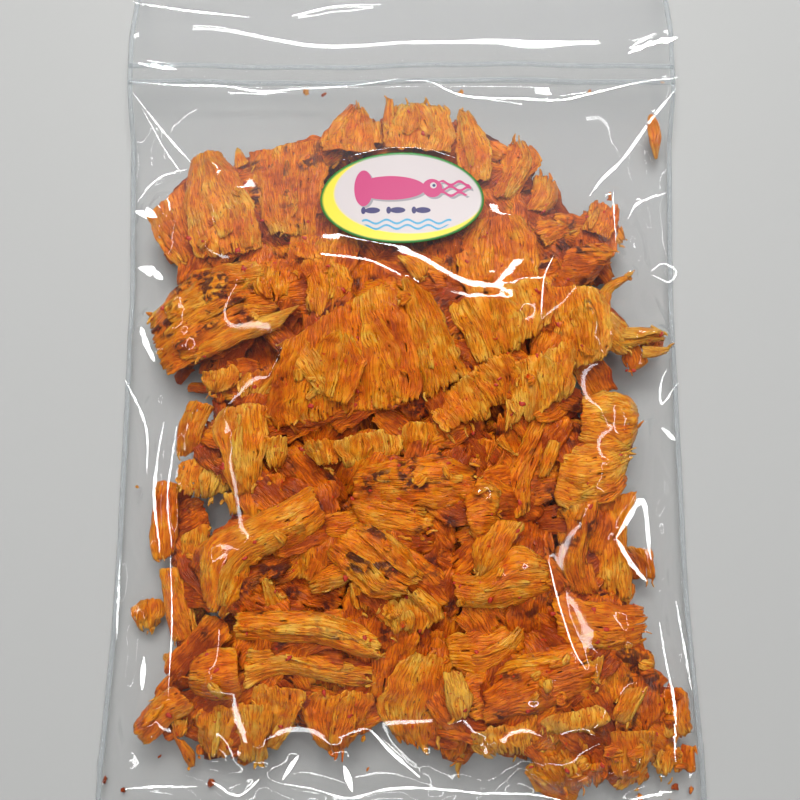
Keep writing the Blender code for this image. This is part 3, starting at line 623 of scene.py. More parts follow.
class FlakeMaker:
    """Turns a flake's few numbers into a closed, fibrous, ragged sheet."""

    ROWS = (4, 70)
    COLUMNS = (3, 130)
    TIP_ROW = 3.5
    ROOT_ROW = 23.5
    TIP_REACH = 6.0
    ROOT_REACH = 4.0
    ROOT_RAGS = 0.7
    TIP_TORN_MOST = 0.45
    ROOT_TORN_MOST = 0.3
    CORNER_MOST = 40.0
    BUNDLE_RUN = 9.0
    FIBRE_RUN = 5.0
    FLICK_CELL = 2.4
    FLICK_MOST = 1.3
    TWIST = 0.12
    WAVY_WIDTH = 14.0
    RIM_SHARE = 0.25
    CHAR_CELL = 6.0
    CHAR_FADE = 0.25
    TONE_CELL = 11.0
    TONE_SWING = 0.10
    PALE_TIP = 0.17
    PALE_ROOT = 0.08
    PALE_SIDE = 0.12
    PALE_REACH = 2.5
    FIBRE_SPREAD = 500

    def __init__(self, seed: int, grain: FlakeGrain = FlakeGrain()) -> None:
        """A maker with its own seeded chances and one grain for all its flakes."""
        self.rng = np.random.default_rng(seed)
        self.grain = grain

    def middle(self, flake: Flake, u: np.ndarray) -> tuple[np.ndarray, ...]:
        """The flake's middle line, its width and the direction across it, at each share u.

        Args:
            flake: the flake.
            u: shares of the way from its root to its tip.

        Returns:
            x, y, z, width and the angle across, each shaped like u.
        """
        rows = np.array(flake.stations, float)
        steps = np.hypot(*np.diff(rows[:, :2], axis=0).T)
        knots = np.concatenate([[0.0], np.cumsum(steps)]) / steps.sum()
        heading = np.unwrap(np.arctan2(np.gradient(rows[:, 1]), np.gradient(rows[:, 0])))
        turn = heading + np.pi / 2 + np.radians(rows[:, 4])
        lines = [rows[:, 0], rows[:, 1], rows[:, 2], rows[:, 3], turn]
        return tuple(spline(knots, line, u) for line in lines)

    def surface(self, flake: Flake, u: np.ndarray, v: np.ndarray) -> np.ndarray:
        """Points of the flake's smooth upper face; v runs -0.5 to 0.5 across it.

        Across its fibres the face is an arc of a circle whose crown stands arch above its two
        edges, and an arch of more than half the width tucks the edges under.

        Args:
            flake: the flake.
            u: shares of the way from its root to its tip.
            v: shares of its width, from its right edge to its left one.

        Returns:
            x, y and z for each pair of u and v.
        """
        x, y, z, width, turn = self.middle(flake, u)
        width = np.maximum(width, 0.5)
        reach = 2.0 * np.arctan(2.0 * max(flake.arch, 0.05) / width)
        radius = width / 2 / np.sin(np.minimum(reach, np.pi / 2))
        angle = 2.0 * v * reach
        aside = radius * np.sin(angle)
        hump = 4.0 * u * (1.0 - u)
        lift = flake.arch - radius * (1.0 - np.cos(angle)) + flake.sag * hump + flake.lean * v
        lift = lift - flake.curl * smooth_step(0.7, 1.0, u)
        return np.stack([x + np.cos(turn) * aside, y + np.sin(turn) * aside, z + lift], axis=-1)

    def make(self, flake: Flake) -> Skin:
        """Builds the flake: its grid, ridges, tufted ends, slits and closed shell.

        Args:
            flake: the flake.

        Returns:
            A closed skin with the flake's tone, browning and painted groove shade at each point.
        """
        grain, rng = self.grain, self.rng
        rows = np.array(flake.stations, float)
        length = float(np.hypot(*np.diff(rows[:, :2], axis=0).T).sum())
        width = float(rows[:, 3].max())
        arc = width * (1.0 + 1.3 * (flake.arch / width) ** 2)
        nu = int(np.clip(round(length / grain.along), *self.ROWS))
        nv = int(np.clip(round(arc / grain.across), *self.COLUMNS))
        u, v = np.meshgrid(np.linspace(0, 1, nu + 1), np.linspace(-0.5, 0.5, nv + 1), indexing="ij")
        across, along = v * arc, u * length
        coarse, fine, rag, wave, soot, wander = (Noise(rng) for _ in range(6))

        corner = np.abs(2 * v) ** 7 * min(0.18 * width, self.CORNER_MOST / width) * rng.uniform(0.0, 1.0)
        tip = self.tufts(rag, across, self.TIP_ROW) * flake.comb + corner
        root = self.tufts(rag, across, self.ROOT_ROW) * flake.comb * self.ROOT_RAGS + corner
        tip_torn = np.minimum(tip / length, self.TIP_TORN_MOST)
        root_torn = np.minimum(root / length, self.ROOT_TORN_MOST)
        u_torn = u * (1.0 - tip_torn) + (1.0 - u) * root_torn
        outer = np.abs(2 * v) ** 2 * np.sign(v)
        swell = rag.at(along / 6.0, 40.5 + 7.0 * np.sign(v)) + 0.4 * rag.at(along / 1.6, 60.5 + v * 3)
        shift = outer * swell * min(1.5, 0.10 * width) + 0.45 * wander.at(along / 5.0, across / 4.0)
        top = self.surface(flake, u_torn, v + shift / arc)

        bundles = coarse.at(across / grain.bundle, along / self.BUNDLE_RUN)
        fibres = fine.at(across / grain.fibre, along / self.FIBRE_RUN)
        near_tip = smooth_step(max(0.3, 1.0 - self.TIP_REACH / length), 1.0, u)
        near_root = 1.0 - smooth_step(0.0, min(0.7, self.ROOT_REACH / length), u)
        place = across / self.FLICK_CELL
        flick = rag.at(place, 70.5) * near_tip + 0.6 * rag.at(place, 75.5) * near_root
        twist = rng.normal(0.0, self.TWIST) * width * v * (2.0 * u - 1.0)
        top[..., 2] += flake.ridge * (0.8 * bundles + 0.5 * fibres)
        top[..., 2] += twist + flick * min(0.5 * flake.comb, self.FLICK_MOST)
        top[..., 2] += self.ripples(wave, top, along, across, min(1.0, width / self.WAVY_WIDTH), flake.lumps)

        from_side = (0.5 - np.abs(v)) * width
        edge = np.minimum(from_side, np.minimum(u, 1.0 - u) * length)
        body = self.RIM_SHARE + (1.0 - self.RIM_SHARE) * smooth_step(0.0, grain.rim, edge)
        normal = unit(np.cross(np.gradient(top, axis=0), np.gradient(top, axis=1)))
        bottom = top - normal * (grain.thickness * body)[..., None]

        keep = self.slit_cells(flake, nu, nv, length)
        # Painted shade: the colour darkens where the fibre ridges dip, and more on the underside, whose
        # groove_shade is scaled by 0.6.
        groove_shade = smooth_step(-0.8, 0.5, 0.6 * bundles + 0.5 * fibres)
        brown = 0.5 + 0.5 * soot.at(top[..., 0] / self.CHAR_CELL, top[..., 1] / self.CHAR_CELL)
        brown = smooth_step(1.0 - flake.char, 1.0 + self.CHAR_FADE - flake.char, brown)
        thin = self.PALE_TIP * near_tip + self.PALE_ROOT * near_root
        thin = thin + self.PALE_SIDE * (1.0 - smooth_step(0.0, self.PALE_REACH, from_side))
        swing = wave.at(top[..., 0] / self.TONE_CELL, 90 + top[..., 1] / self.TONE_CELL)
        tone = flake.tone - thin + self.TONE_SWING * swing
        uv = np.stack([across, along], axis=-1).reshape(-1, 2) + rng.uniform(0, self.FIBRE_SPREAD, 2)
        skin = Skin(
            points=inside_bag(np.concatenate([top.reshape(-1, 3), bottom.reshape(-1, 3)])),
            quads=shell_faces(keep),
            uv=np.concatenate([uv, uv]) / UV_SIZE,
            values={
                "tone": np.tile(tone.ravel(), 2),
                "char": np.tile(brown.ravel(), 2),
                "groove_shade": np.concatenate([groove_shade.ravel(), 0.6 * groove_shade.ravel()]),
            },
        )
        return skin.without_loose_points()

    @staticmethod
    def ripples(
        wave: Noise, top: np.ndarray, along: np.ndarray, across: np.ndarray, wide: float, lumps: float
    ) -> np.ndarray:
        """The sheet's unevenness: slow waves of wide sheets, quick ones, long folds and bumps.

        Args:
            wave: the noise that all four read, each in rows of its own.
            top: points of the upper face, whose x and y carry the slow waves.
            along: millimetres along the fibres.
            across: millimetres across them.
            wide: 0 to 1, how much of the slow waves and folds a sheet of this width shows.
            lumps: height of the bumps.

        Returns:
            The sum of the four as heights.
        """
        slow = 0.75 * wide * wave.at(top[..., 0] / 7.5, top[..., 1] / 7.5)
        quick = 0.35 * wave.at(50 + along / 2.6, across / 3.5)
        folds = 0.7 * wide * wave.at(15 + across / 5.5, 15 + along / 20.0)
        return slow + quick + folds + lumps * wave.at(30 + across / 2.4, 30 + along / 3.6)

    def tufts(self, rag: Noise, across: np.ndarray, row: float) -> np.ndarray:
        """How far back a torn end lies at each place across, as a share of its raggedness.

        Narrow notches where the noise crosses 0 part the fibres into rounded tufts, slower
        noise sets each tuft's length, and quick noise frays it.

        Args:
            rag: the noise that they are read from.
            across: millimetres across the fibres.
            row: which rows of the noise belong to this end.

        Returns:
            The shares, which can pass 1 where all three meet.
        """
        pitch = self.grain.tuft
        parting = 1.0 - np.sqrt(np.minimum(1.8 * np.abs(rag.at(across / pitch, row)), 1.0))
        reach = 0.5 + 0.5 * rag.at(across / 4.2, row + 5)
        fray = 0.5 + 0.5 * rag.at(across / 0.7, row + 10)
        return 0.6 * parting + 0.8 * reach + 0.5 * fray

    def slit_cells(self, flake: Flake, nu: int, nv: int, length: float) -> np.ndarray:
        """Which cells are there: slits run in from the tip, and short ones open in the middle.

        Args:
            flake: the flake.
            nu: cells along it.
            nv: cells across it.
            length: its length.

        Returns:
            True for each cell that is there, along by across.
        """
        keep = np.ones((nu, nv), bool)
        columns = np.flatnonzero(self.rng.random(nv) < flake.slits)
        columns = columns[(columns > 0) & (columns < nv - 1)]
        depth = self.rng.uniform(0.8, 5.5, len(columns)) / length * nu
        row = np.arange(nu)[:, None]
        keep[:, columns] = row < nu - np.minimum(depth, 0.5 * nu)[None, :]
        for _ in range(int(nu * nv * 0.05 * flake.slits)):
            column = int(self.rng.integers(1, max(nv - 1, 2)))
            start = int(self.rng.integers(1, max(nu - 3, 2)))
            long = int(self.rng.integers(1, 4))
            keep[start : min(start + long, nu - 1), column] = False
        return keep


class Relief:
    """Heights on a grid of millimetres over the bag, such as the top of the food."""

    def __init__(self, step: float) -> None:
        """A level grid with crossings about a step apart.

        Args:
            step: millimetres from one crossing to the next.
        """
        self.step = step
        self.columns = int(round(BAG_WIDTH / step)) + 1
        self.rows = int(round(BAG_LENGTH / step)) + 1
        self.height = np.zeros((self.rows, self.columns))

    def cell(self, x: np.ndarray, y: np.ndarray) -> tuple[np.ndarray, np.ndarray]:
        """Row and column of the crossing that is nearest to each point.

        Args:
            x: places across the bag.
            y: places along it.

        Returns:
            The rows and the columns, each shaped like x.
        """
        share = x / half_width(y)
        column = np.rint((share + 1.0) / 2.0 * (self.columns - 1)).astype(int)
        row = np.rint((y + BAG_LENGTH / 2) / self.step).astype(int)
        return np.clip(row, 0, self.rows - 1), np.clip(column, 0, self.columns - 1)

    def press(self, points: np.ndarray) -> None:
        """Raises the grid to the points that stand over it."""
        row, column = self.cell(points[:, 0], points[:, 1])
        np.maximum.at(self.height, (row, column), points[:, 2])

    def at(self, x: np.ndarray, y: np.ndarray) -> np.ndarray:
        """Height at each point, blended between the four crossings around it.

        Args:
            x: places across the bag.
            y: places along it.

        Returns:
            The heights, shaped like x.
        """
        share = np.clip(x / half_width(y), -1.0, 1.0)
        c = (share + 1.0) / 2.0 * (self.columns - 1)
        r = np.clip((y + BAG_LENGTH / 2) / self.step, 0, self.rows - 1)
        c0 = np.minimum(np.floor(c).astype(int), self.columns - 2)
        r0 = np.minimum(np.floor(r).astype(int), self.rows - 2)
        s, t = c - c0, r - r0
        low = self.height[r0, c0] * (1 - s) + self.height[r0, c0 + 1] * s
        high = self.height[r0 + 1, c0] * (1 - s) + self.height[r0 + 1, c0 + 1] * s
        return low * (1 - t) + high * t

    def grid(self) -> tuple[np.ndarray, np.ndarray]:
        """x and y of every crossing, whose columns keep to the bag's sides.

        Returns:
            x and y, each rows by columns.
        """
        y = np.linspace(-BAG_LENGTH / 2, BAG_LENGTH / 2, self.rows)
        share = np.linspace(-1.0, 1.0, self.columns)
        y, share = np.meshgrid(y, share, indexing="ij")
        return share * half_width(y), y


def blurred(heights: np.ndarray, times: int) -> np.ndarray:
    """The heights, each time averaged with their four neighbours.

    Args:
        heights: heights on a grid.
        times: how often.

    Returns:
        The smoother heights.
    """
    for _ in range(times):
        padded = np.pad(heights, 1, mode="edge")
        heights = (
            padded[:-2, 1:-1] + padded[2:, 1:-1] + padded[1:-1, :-2] + padded[1:-1, 2:] + heights
        ) / 5.0
    return heights


def closed(mask: np.ndarray, times: int) -> np.ndarray:
    """The mask with gaps of up to twice times cells filled: grown, then shrunk again.

    Args:
        mask: true where something is.
        times: how many cells it grows.

    Returns:
        The mask without those gaps.
    """
    for step in range(2 * times):
        padded = np.pad(mask, 1, constant_values=step >= times)
        sides = [padded[:-2, 1:-1], padded[2:, 1:-1], padded[1:-1, :-2], padded[1:-1, 2:], mask]
        mask = np.any(sides, axis=0) if step < times else np.all(sides, axis=0)
    return mask


@dataclass(frozen=True)
class BedLayer:
    """Loose filler pieces under the placed flakes, at a share of the heap's height there.

    below is how far under that height they lie, spacing the side of their square pattern, least
    the heap's least height where they may lie, and size scales them. Their deep tone is painted
    shade for the gaps between the flakes above.
    """

    zone: Zone
    share: float
    below: float
    spacing: float
    tone: float
    grain: FlakeGrain
    least: float = 6.0
    size: float = 1.0


class SquidHeap:
    """The dried squid in the bag: the placed flakes and the bed of pieces under them."""

    SHOWN = FlakeGrain(along=2.0, across=0.85, thickness=1.2)
    HIDDEN = FlakeGrain(along=3.0, across=1.5, thickness=1.2)
    # Deep tones on the bed are painted shade for the gaps between the placed flakes.
    BED = (
        BedLayer(Zone.BED_HIGH, share=1.0, below=3.8, spacing=10.5, tone=0.8, grain=SHOWN),
        BedLayer(Zone.BED_MIDDLE, share=0.55, below=1.0, spacing=13.0, tone=0.9, grain=HIDDEN),
        BedLayer(Zone.BED_LOW, share=0.0, below=-2.0, spacing=13.0, tone=0.7, grain=HIDDEN, least=3.0),
        BedLayer(Zone.BED_MIDDLE, share=0.75, below=2.0, spacing=8.0, tone=0.85, grain=HIDDEN, size=0.5),
        BedLayer(Zone.BED_LOW, share=0.35, below=0.5, spacing=8.0, tone=0.85, grain=HIDDEN, size=0.5),
    )
    BED_CELL = 5.0
    BED_FLOOR = 1.6
    BED_SEED = 5
    BED_TAPER = (0.7, 1.0, 0.8)
    BED_REACH = (8.0, 15.0)
    BED_WIDTH = (8.0, 16.0)
    BED_TONE = (-0.2, 0.15)
    FOOD_LEAST = 2.0
    SHRED_SEED = 6
    SHRED_SPACING = 7.0
    SHRED_AT_TIP = 0.75
    SHRED_TAPER = (1.0, 0.9, 0.35)
    SHRED_TURN = 0.45
    SHRED_BEND = 0.5
    SHRED_REACH = (2.0, 4.8)
    SHRED_RISE = (-0.8, 0.9)
    SHRED_WIDTH = (0.6, 1.4)
    SHRED_TONE = (-0.3, 0.1)
    SCRAP_LOWEST = 6.0
    SCRAP_STEEPEST = 4.0
    SCRAP_FROM_LABEL = 1.5
    SCRAP_TAPER = (0.6, 1.0, 0.7)
    SCRAP_HALF = (1.5, 4.0)
    SCRAP_WIDTH = (1.5, 5.0)
    SCRAP_RISE = (-0.4, 1.0)
    SCRAP_TONE = (0.25, 0.85)
    SCRAP_ARCH = (0.3, 1.0)
    SCRAPS = (((42.0, 92.0, -138.0, -92.0), 90), ((-80.0, 85.0, -130.0, 90.0), 70))
    PLY_LEAST = 9.0
    PLY_SPACING = 13.0
    PLY_LIFT = 0.1
    PLY_TAPER = (0.3, 1.0, 0.95, 0.6)
    PLY_WIDTH = (0.12, 0.36)
    PLY_START = (0.0, 0.3)
    PLY_END = (0.75, 1.02)
    PLY_CURL = (-1.2, 0.6)
    PLY_COMB = (0.8, 2.2)
    PLY_TONE = (-0.12, 0.12)

    def __init__(self, seed: int) -> None:
        """An empty heap with its makers and its chances.

        Args:
            seed: where the chances start.
        """
        self.maker = FlakeMaker(seed)
        self.peeler = FlakeMaker(seed + 2, FlakeGrain(thickness=0.5, rim=2.6))
        self.rng = np.random.default_rng(seed + 1)
        self.top = Relief(FILM_STEP)
        self.objects: list[bpy.types.Object] = []

    def build(self, material: bpy.types.Material) -> None:
        """Makes the placed flakes zone by zone, then their shreds and the bed under them.

        Args:
            material: the squid.
        """
        groups: dict[Zone, list[Skin]] = {}
        for zone, flakes in PLACED.items():
            peeled = [ply for flake in flakes for ply in self.plies(flake)]
            groups[zone] = [self.maker.make(flake) for flake in flakes]
            groups[zone] += [self.peeler.make(ply) for ply in peeled]
            self.top.press(np.concatenate([skin.points for skin in groups[zone]]))
        for layer, flakes in self.bed_flakes():
            maker = FlakeMaker(self.BED_SEED, layer.grain)
            groups.setdefault(layer.zone, []).extend(maker.make(flake) for flake in flakes)
        fine = FlakeMaker(self.SHRED_SEED, FlakeGrain(along=0.8, across=0.45, thickness=0.7, rim=0.8))
        shreds = [shred for flakes in PLACED.values() for f in flakes for shred in self.shreds(f)]
        groups[Zone.SHREDS] = [fine.make(shred) for shred in shreds]
        groups[Zone.SHREDS] += [fine.make(scrap) for scrap in self.scraps()]
        self.top.press(np.concatenate([skin.points for skin in groups[Zone.SHREDS]]))
        for zone, skins in groups.items():
            self.objects.append(Skin.joined(skins).to_object(zone.value, material))

    def shreds(self, flake: Flake) -> list[Flake]:
        """Loose strands at a flake's torn ends and sides, each a tiny flake of its own.

        Args:
            flake: the flake that they hang from.

        Returns:
            The strands, more of them on a wide flake.
        """
        rng = self.rng
        length = math.hypot(*np.subtract(flake.stations[-1][:2], flake.stations[0][:2]))
        width = max(station[3] for station in flake.stations)
        count = int(rng.integers(0, 3) + width / self.SHRED_SPACING)
        found = []
        for _ in range(count):
            at_tip = rng.random() < self.SHRED_AT_TIP
            u = 0.93 if at_tip else rng.uniform(0.1, 0.9)
            v = rng.uniform(-0.46, 0.46) if at_tip else rng.choice([-0.47, 0.47])
            here = self.maker.surface(flake, np.array(u), np.array(v))
            before = self.maker.surface(flake, np.array(u - 0.05), np.array(v))
            heading = math.atan2(here[1] - before[1], here[0] - before[0]) + rng.normal(0.0, self.SHRED_TURN)
            reach = rng.uniform(*self.SHRED_REACH) * min(1.0, 0.4 + length / 25.0)
            bend = rng.normal(0.0, self.SHRED_BEND)
            step = compass(heading) * reach / 2
            turn = compass(heading + bend) * reach / 2
            rise = rng.uniform(*self.SHRED_RISE)
            size = rng.uniform(*self.SHRED_WIDTH)
            places = (here[:2] - step * 0.6, here[:2] + step * 0.4, here[:2] + step * 0.4 + turn)
            levels = (here[2], here[2] + 0.3 + rise / 2, here[2] + 0.2 + rise)
            stations = small_stations(places, levels, size, self.SHRED_TAPER)
            tone = flake.tone + rng.uniform(*self.SHRED_TONE)
            found.append(Flake(stations, arch=0.3, curl=0.0, comb=0.5, slits=0.0, tone=tone))
        return found

    def scraps(self) -> list[Flake]:
        """Small torn bits on top of the heap, most of them in its jumbled lower right corner.

        Returns:
            The bits that fall on fairly level squid away from the label.
        """
        rng = self.rng
        found = []
        for area, count in self.SCRAPS:
            for _ in range(count):
                x, y = rng.uniform(area[0], area[1]), rng.uniform(area[2], area[3])
                angle = rng.uniform(0.0, 2 * math.pi)
                step = compass(angle) * rng.uniform(*self.SCRAP_HALF)
                places = np.array([[x, y] - step, [x, y], [x, y] + step])
                z = self.top.at(places[:, 0], places[:, 1])
                under_label = Label.reach(x, y) < self.SCRAP_FROM_LABEL
                if z.min() < self.SCRAP_LOWEST or np.ptp(z) > self.SCRAP_STEEPEST or under_label:
                    continue
                width = rng.uniform(*self.SCRAP_WIDTH)
                rise = z + 0.3 + rng.uniform(*self.SCRAP_RISE, 3)
                stations = small_stations(places, rise, width, self.SCRAP_TAPER)
                tone = rng.uniform(*self.SCRAP_TONE)
                arch = rng.uniform(*self.SCRAP_ARCH)
                found.append(Flake(stations, arch=arch, comb=1.2, slits=0.15, tone=tone, char=0.2))
        return found

    def plies(self, flake: Flake) -> list[Flake]:
        """Narrow sheets that peel from a wide flake's upper face, along its fibres.

        Args:
            flake: the flake that they lie on.

        Returns:
            One or more thin flakes, each leaning with the face under it.
        """
        rng = self.rng
        length = math.hypot(*np.subtract(flake.stations[-1][:2], flake.stations[0][:2]))
        width = max(station[3] for station in flake.stations)
        if min(length, width) < self.PLY_LEAST:
            return []
        found = []
        for _ in range(int(width / self.PLY_SPACING + rng.random())):
            size = width * rng.uniform(*self.PLY_WIDTH)
            v = rng.uniform(-0.46, 0.46) * (1.0 - size / width)
            u = np.linspace(rng.uniform(*self.PLY_START), rng.uniform(*self.PLY_END), 4)
            v = v + rng.normal(0.0, 0.06) * np.linspace(-1.0, 1.0, 4)
            here = self.maker.surface(flake, u, v)
            beside = self.maker.surface(flake, u, v + 0.06)
            apart = np.hypot(*(beside - here)[:, :2].T)
            slope = float(np.mean((beside - here)[:, 2] / np.maximum(apart, 0.1)))
            stations = small_stations(here, here[:, 2] + self.PLY_LIFT, size, self.PLY_TAPER)
            found.append(
                Flake(
                    stations,
                    arch=flake.arch * (size / width) ** 2 + 0.25,
                    lean=slope * size,
                    curl=rng.uniform(*self.PLY_CURL),
                    comb=rng.uniform(*self.PLY_COMB),
                    slits=0.14,
                    tone=flake.tone + rng.uniform(*self.PLY_TONE),
                    char=flake.char,
                )
            )
        return found

    def bed_flakes(self) -> list[tuple[BedLayer, list[Flake]]]:
        """Seeded filler pieces at each layer's depth, following the slope of the heap.

        Returns:
            Each layer with its pieces.
        """
        rough = Relief(self.BED_CELL)
        x, y = self.top.grid()
        rough.press(np.stack([x, y, self.top.height], axis=-1).reshape(-1, 3))
        across, _ = rough.grid()
        covered = rough.height > self.FOOD_LEAST
        covered = covered | (closed(covered, 2) & (np.abs(across) < FULL_HALF))
        rough.height = blurred(rough.height, 2)
        layers = [(layer, self.layer_flakes(layer, rough, covered)) for layer in self.BED]
        for layer, flakes in layers:
            log.info("%s: %d pieces", layer.zone.value, len(flakes))
        return layers

    def layer_flakes(self, layer: BedLayer, rough: Relief, covered: np.ndarray) -> list[Flake]:
        """The pieces of one layer, at jittered places of a square pattern.

        Args:
            layer: the layer.
            rough: the heap's height, on a coarse grid.
            covered: which crossings of that grid have squid.

        Returns:
            The pieces that lie wholly under squid.
        """
        xs = np.arange(-BAG_WIDTH / 2, BAG_WIDTH / 2, layer.spacing)
        ys = np.arange(-BAG_LENGTH / 2, FOOD_END_Y, layer.spacing)
        flakes = []
        for y in ys:
            for x in xs:
                px, py = np.array([x, y]) + self.rng.uniform(-0.4, 0.4, 2) * layer.spacing
                angle = self.rng.uniform(0, 2 * math.pi)
                reach = self.rng.uniform(*self.BED_REACH) * layer.size
                width = self.rng.uniform(*self.BED_WIDTH) * layer.size
                step = compass(angle) * reach
                places = np.array([[px, py] - step, [px, py], [px, py] + step])
                aside = np.array([-step[1], step[0]]) / reach * width / 2
                corners = np.concatenate([places - aside, places, places + aside])
                row, column = rough.cell(corners[:, 0], corners[:, 1])
                high = rough.at(places[:, 0], places[:, 1])
                if not covered[row, column].all() or high.min() < layer.least:
                    continue
                z = np.maximum(high * layer.share - layer.below, self.BED_FLOOR)
                z = z + self.rng.uniform(-0.5, 0.5)
                stations = small_stations(places, z, width, self.BED_TAPER)
                tone = layer.tone + self.rng.uniform(*self.BED_TONE)
                # Painted shade: the bed's browning darkens the gaps between the placed flakes.
                flakes.append(Flake(stations, arch=0.8, comb=3.0, slits=0.12, tone=tone, char=0.35))
        return flakes


@dataclass(frozen=True)
class Crease:
    """A fold of the film: a rounded ridge along a line of points, fading at both ends.

    shine is the width of the flat facets on it that throw a light to the camera.
    """

    path: tuple[tuple[float, float], ...]
    height: float
    width: float
    shine: float = 0.0

    def lift(self, x: np.ndarray, y: np.ndarray) -> np.ndarray:
        """Height of the ridge at each point.

        Args:
            x: places across the bag.
            y: places along it.

        Returns:
            height times a bell curve of the distance to the line, less towards its two ends.
        """
        knots = np.array(self.path)
        steps = np.hypot(*np.diff(knots, axis=0).T)
        starts = np.concatenate([[0.0], np.cumsum(steps)])
        nearest = np.full(x.shape, np.inf)
        travel = np.zeros(x.shape)
        for k, (a, b) in enumerate(zip(knots[:-1], knots[1:])):
            t = ((x - a[0]) * (b[0] - a[0]) + (y - a[1]) * (b[1] - a[1])) / steps[k] ** 2
            t = np.clip(t, 0.0, 1.0)
            gap = np.hypot(x - a[0] - t * (b[0] - a[0]), y - a[1] - t * (b[1] - a[1]))
            travel = np.where(gap < nearest, starts[k] + t * steps[k], travel)
            nearest = np.minimum(nearest, gap)
        share = travel / starts[-1]
        fade = smooth_step(-0.15, 0.25, share) * (1.0 - smooth_step(0.75, 1.15, share))
        return self.height * fade * np.exp(-((nearest / self.width) ** 2))


CREASES = [
    # Down from the zip's left end
    Crease(((-98.5, 103.5), (-87.5, 90), (-75, 74.5)), 0.5, 1.2, 0.8),
    Crease(((-95, 98), (-85, 80.5), (-78.5, 71)), 0.2, 1, 0.5),
    # Down from the zip's right end
    Crease(((100, 104), (91.5, 93.5), (80, 78), (71, 68), (66.5, 61.5)), 0.9, 1.6, 1.5),
    Crease(((-96, 63.5), (-91.5, 68), (-86.5, 71), (-76.5, 72)), 0.6, 1.4, 0.8),
    Crease(((80.5, 54.5), (85, 61.5), (90.5, 64.5), (97, 67.5)), 0.7, 1.4, 1),
    # Just under the zip
    Crease(((-98.5, 106.5), (-81, 105.5), (-62.5, 105), (-51, 103), (-37, 104), (-22.5, 105), (-9.5, 106.5),
           (-0.5, 108)), 0.35, 0.8, 0.6),
    Crease(((1.5, 107), (10.5, 106.5), (19.5, 101), (43, 99), (57.5, 99), (72.5, 103), (91, 107),
           (100.5, 108)), 0.45, 0.9, 0.8),
    # Long fold over the fan
    Crease(((-59.5, 19.5), (-55.5, 25), (-46.5, 29.5), (-37, 32), (-27, 33), (-19, 32), (-11, 30.5),
           (-4, 27), (4.5, 23.5), (13, 19.5), (21, 16.5), (29.5, 16), (36.5, 16.5), (42, 20), (47.5, 27),
           (53, 32), (59.5, 35.5), (66.5, 37.5), (70.5, 39)), 2, 6.5),
    Crease(((50.5, 34.5), (47, 27), (45.5, 13.5)), 0.45, 0.8, 0.8),
    # Left margin
    Crease(((-95, 57.5), (-90.5, 56), (-85.5, 53)), 0.9, 2.2, 3.6),
    Crease(((-93.5, 37.5), (-89, 36), (-83.5, 31.5)), 0.9, 2.2, 4),
    Crease(((-90.5, 14.5), (-88.5, 9.5), (-84.5, 2)), 0.9, 2, 3.4),
    Crease(((-80.5, -19), (-82.5, -38), (-80, -62.5)), 1.3, 2.8, 1.2),
    Crease(((-74.5, -21), (-77.5, -45), (-75.5, -61)), 1.2, 2.4, 0.8),
    Crease(((-97.5, -2.5), (-88, -20), (-86.5, -36)), 1, 2.2, 0.9),
    Crease(((-96, -63.5), (-95.5, -91.5)), 1, 2.2, 1),
    Crease(((-85, -96.5), (-84.5, -107)), 1.2, 2.6, 2.6),
    Crease(((-76, -63.5), (-75, -78.5), (-74.5, -107.5)), 0.9, 2, 0.7),
    # Right side
    Crease(((75, 63.5), (74.5, 44)), 0.9, 1.8, 0.8),
    Crease(((70, -58), (80, -45.5), (83, -65)), 1.2, 2.4, 2.4),
    Crease(((70, -58), (75.5, -66.5), (81, -72)), 1.2, 2.4, 2),
    Crease(((89, 36.5), (94.5, 40), (99, 37), (96.5, 33.5), (89.5, 35)), 0.8, 1.8, 0.8),
    Crease(((92.5, 0.5), (90, -5), (90, -11.5), (97.5, -3.5)), 0.8, 1.8, 0.8),
    Crease(((90, -20), (95.5, -24)), 0.8, 1.8, 1.8),
    Crease(((46.5, -65), (48.5, -74.5), (51, -84), (54, -93.5), (57, -98.5)), 0.4, 1.2, 0.6),
    Crease(((84.5, -85), (87.5, -110.5), (88, -129)), 0.9, 2.2, 1),
    Crease(((92.5, -78.5), (96, -107.5)), 0.9, 2, 0.9),
    # Foot
    Crease(((-90.5, -139), (-79.5, -138), (-66.5, -137.5)), 1, 2.4, 0.9),
    Crease(((-61.5, -136), (-53, -140.5), (-46, -135)), 1, 2.4, 0.9),
    Crease(((-40, -136), (-28.5, -138.5), (-17, -141.5), (-7, -139), (26, -139), (45.5, -140),
           (56, -142.5)), 1.2, 2.6, 0.9),
    Crease(((71.5, -142.5), (80, -140), (88, -139)), 1, 2.4, 1),
    Crease(((-33.5, -127.5), (-38.5, -135)), 0.8, 2, 1.6),
    Crease(((-18.5, -130.5), (-16, -139.5)), 0.8, 2, 2),
    Crease(((-10, -118), (-4, -125), (6, -134.5)), 0.8, 2, 1.2),
    # Lip
    Crease(((-100.5, 141), (-87, 138), (-73.5, 135.5), (-57, 134)), 0.4, 1, 0.7),
    Crease(((-41.5, 135), (-27, 139), (-8, 140.5)), 0.4, 1, 0.7),
    Crease(((83, 117.5), (92, 121.5), (101, 123.5)), 0.7, 1.8, 2.6),
    Crease(((-96, 113.5), (-82, 111.5)), 0.6, 1.6, 2),
]


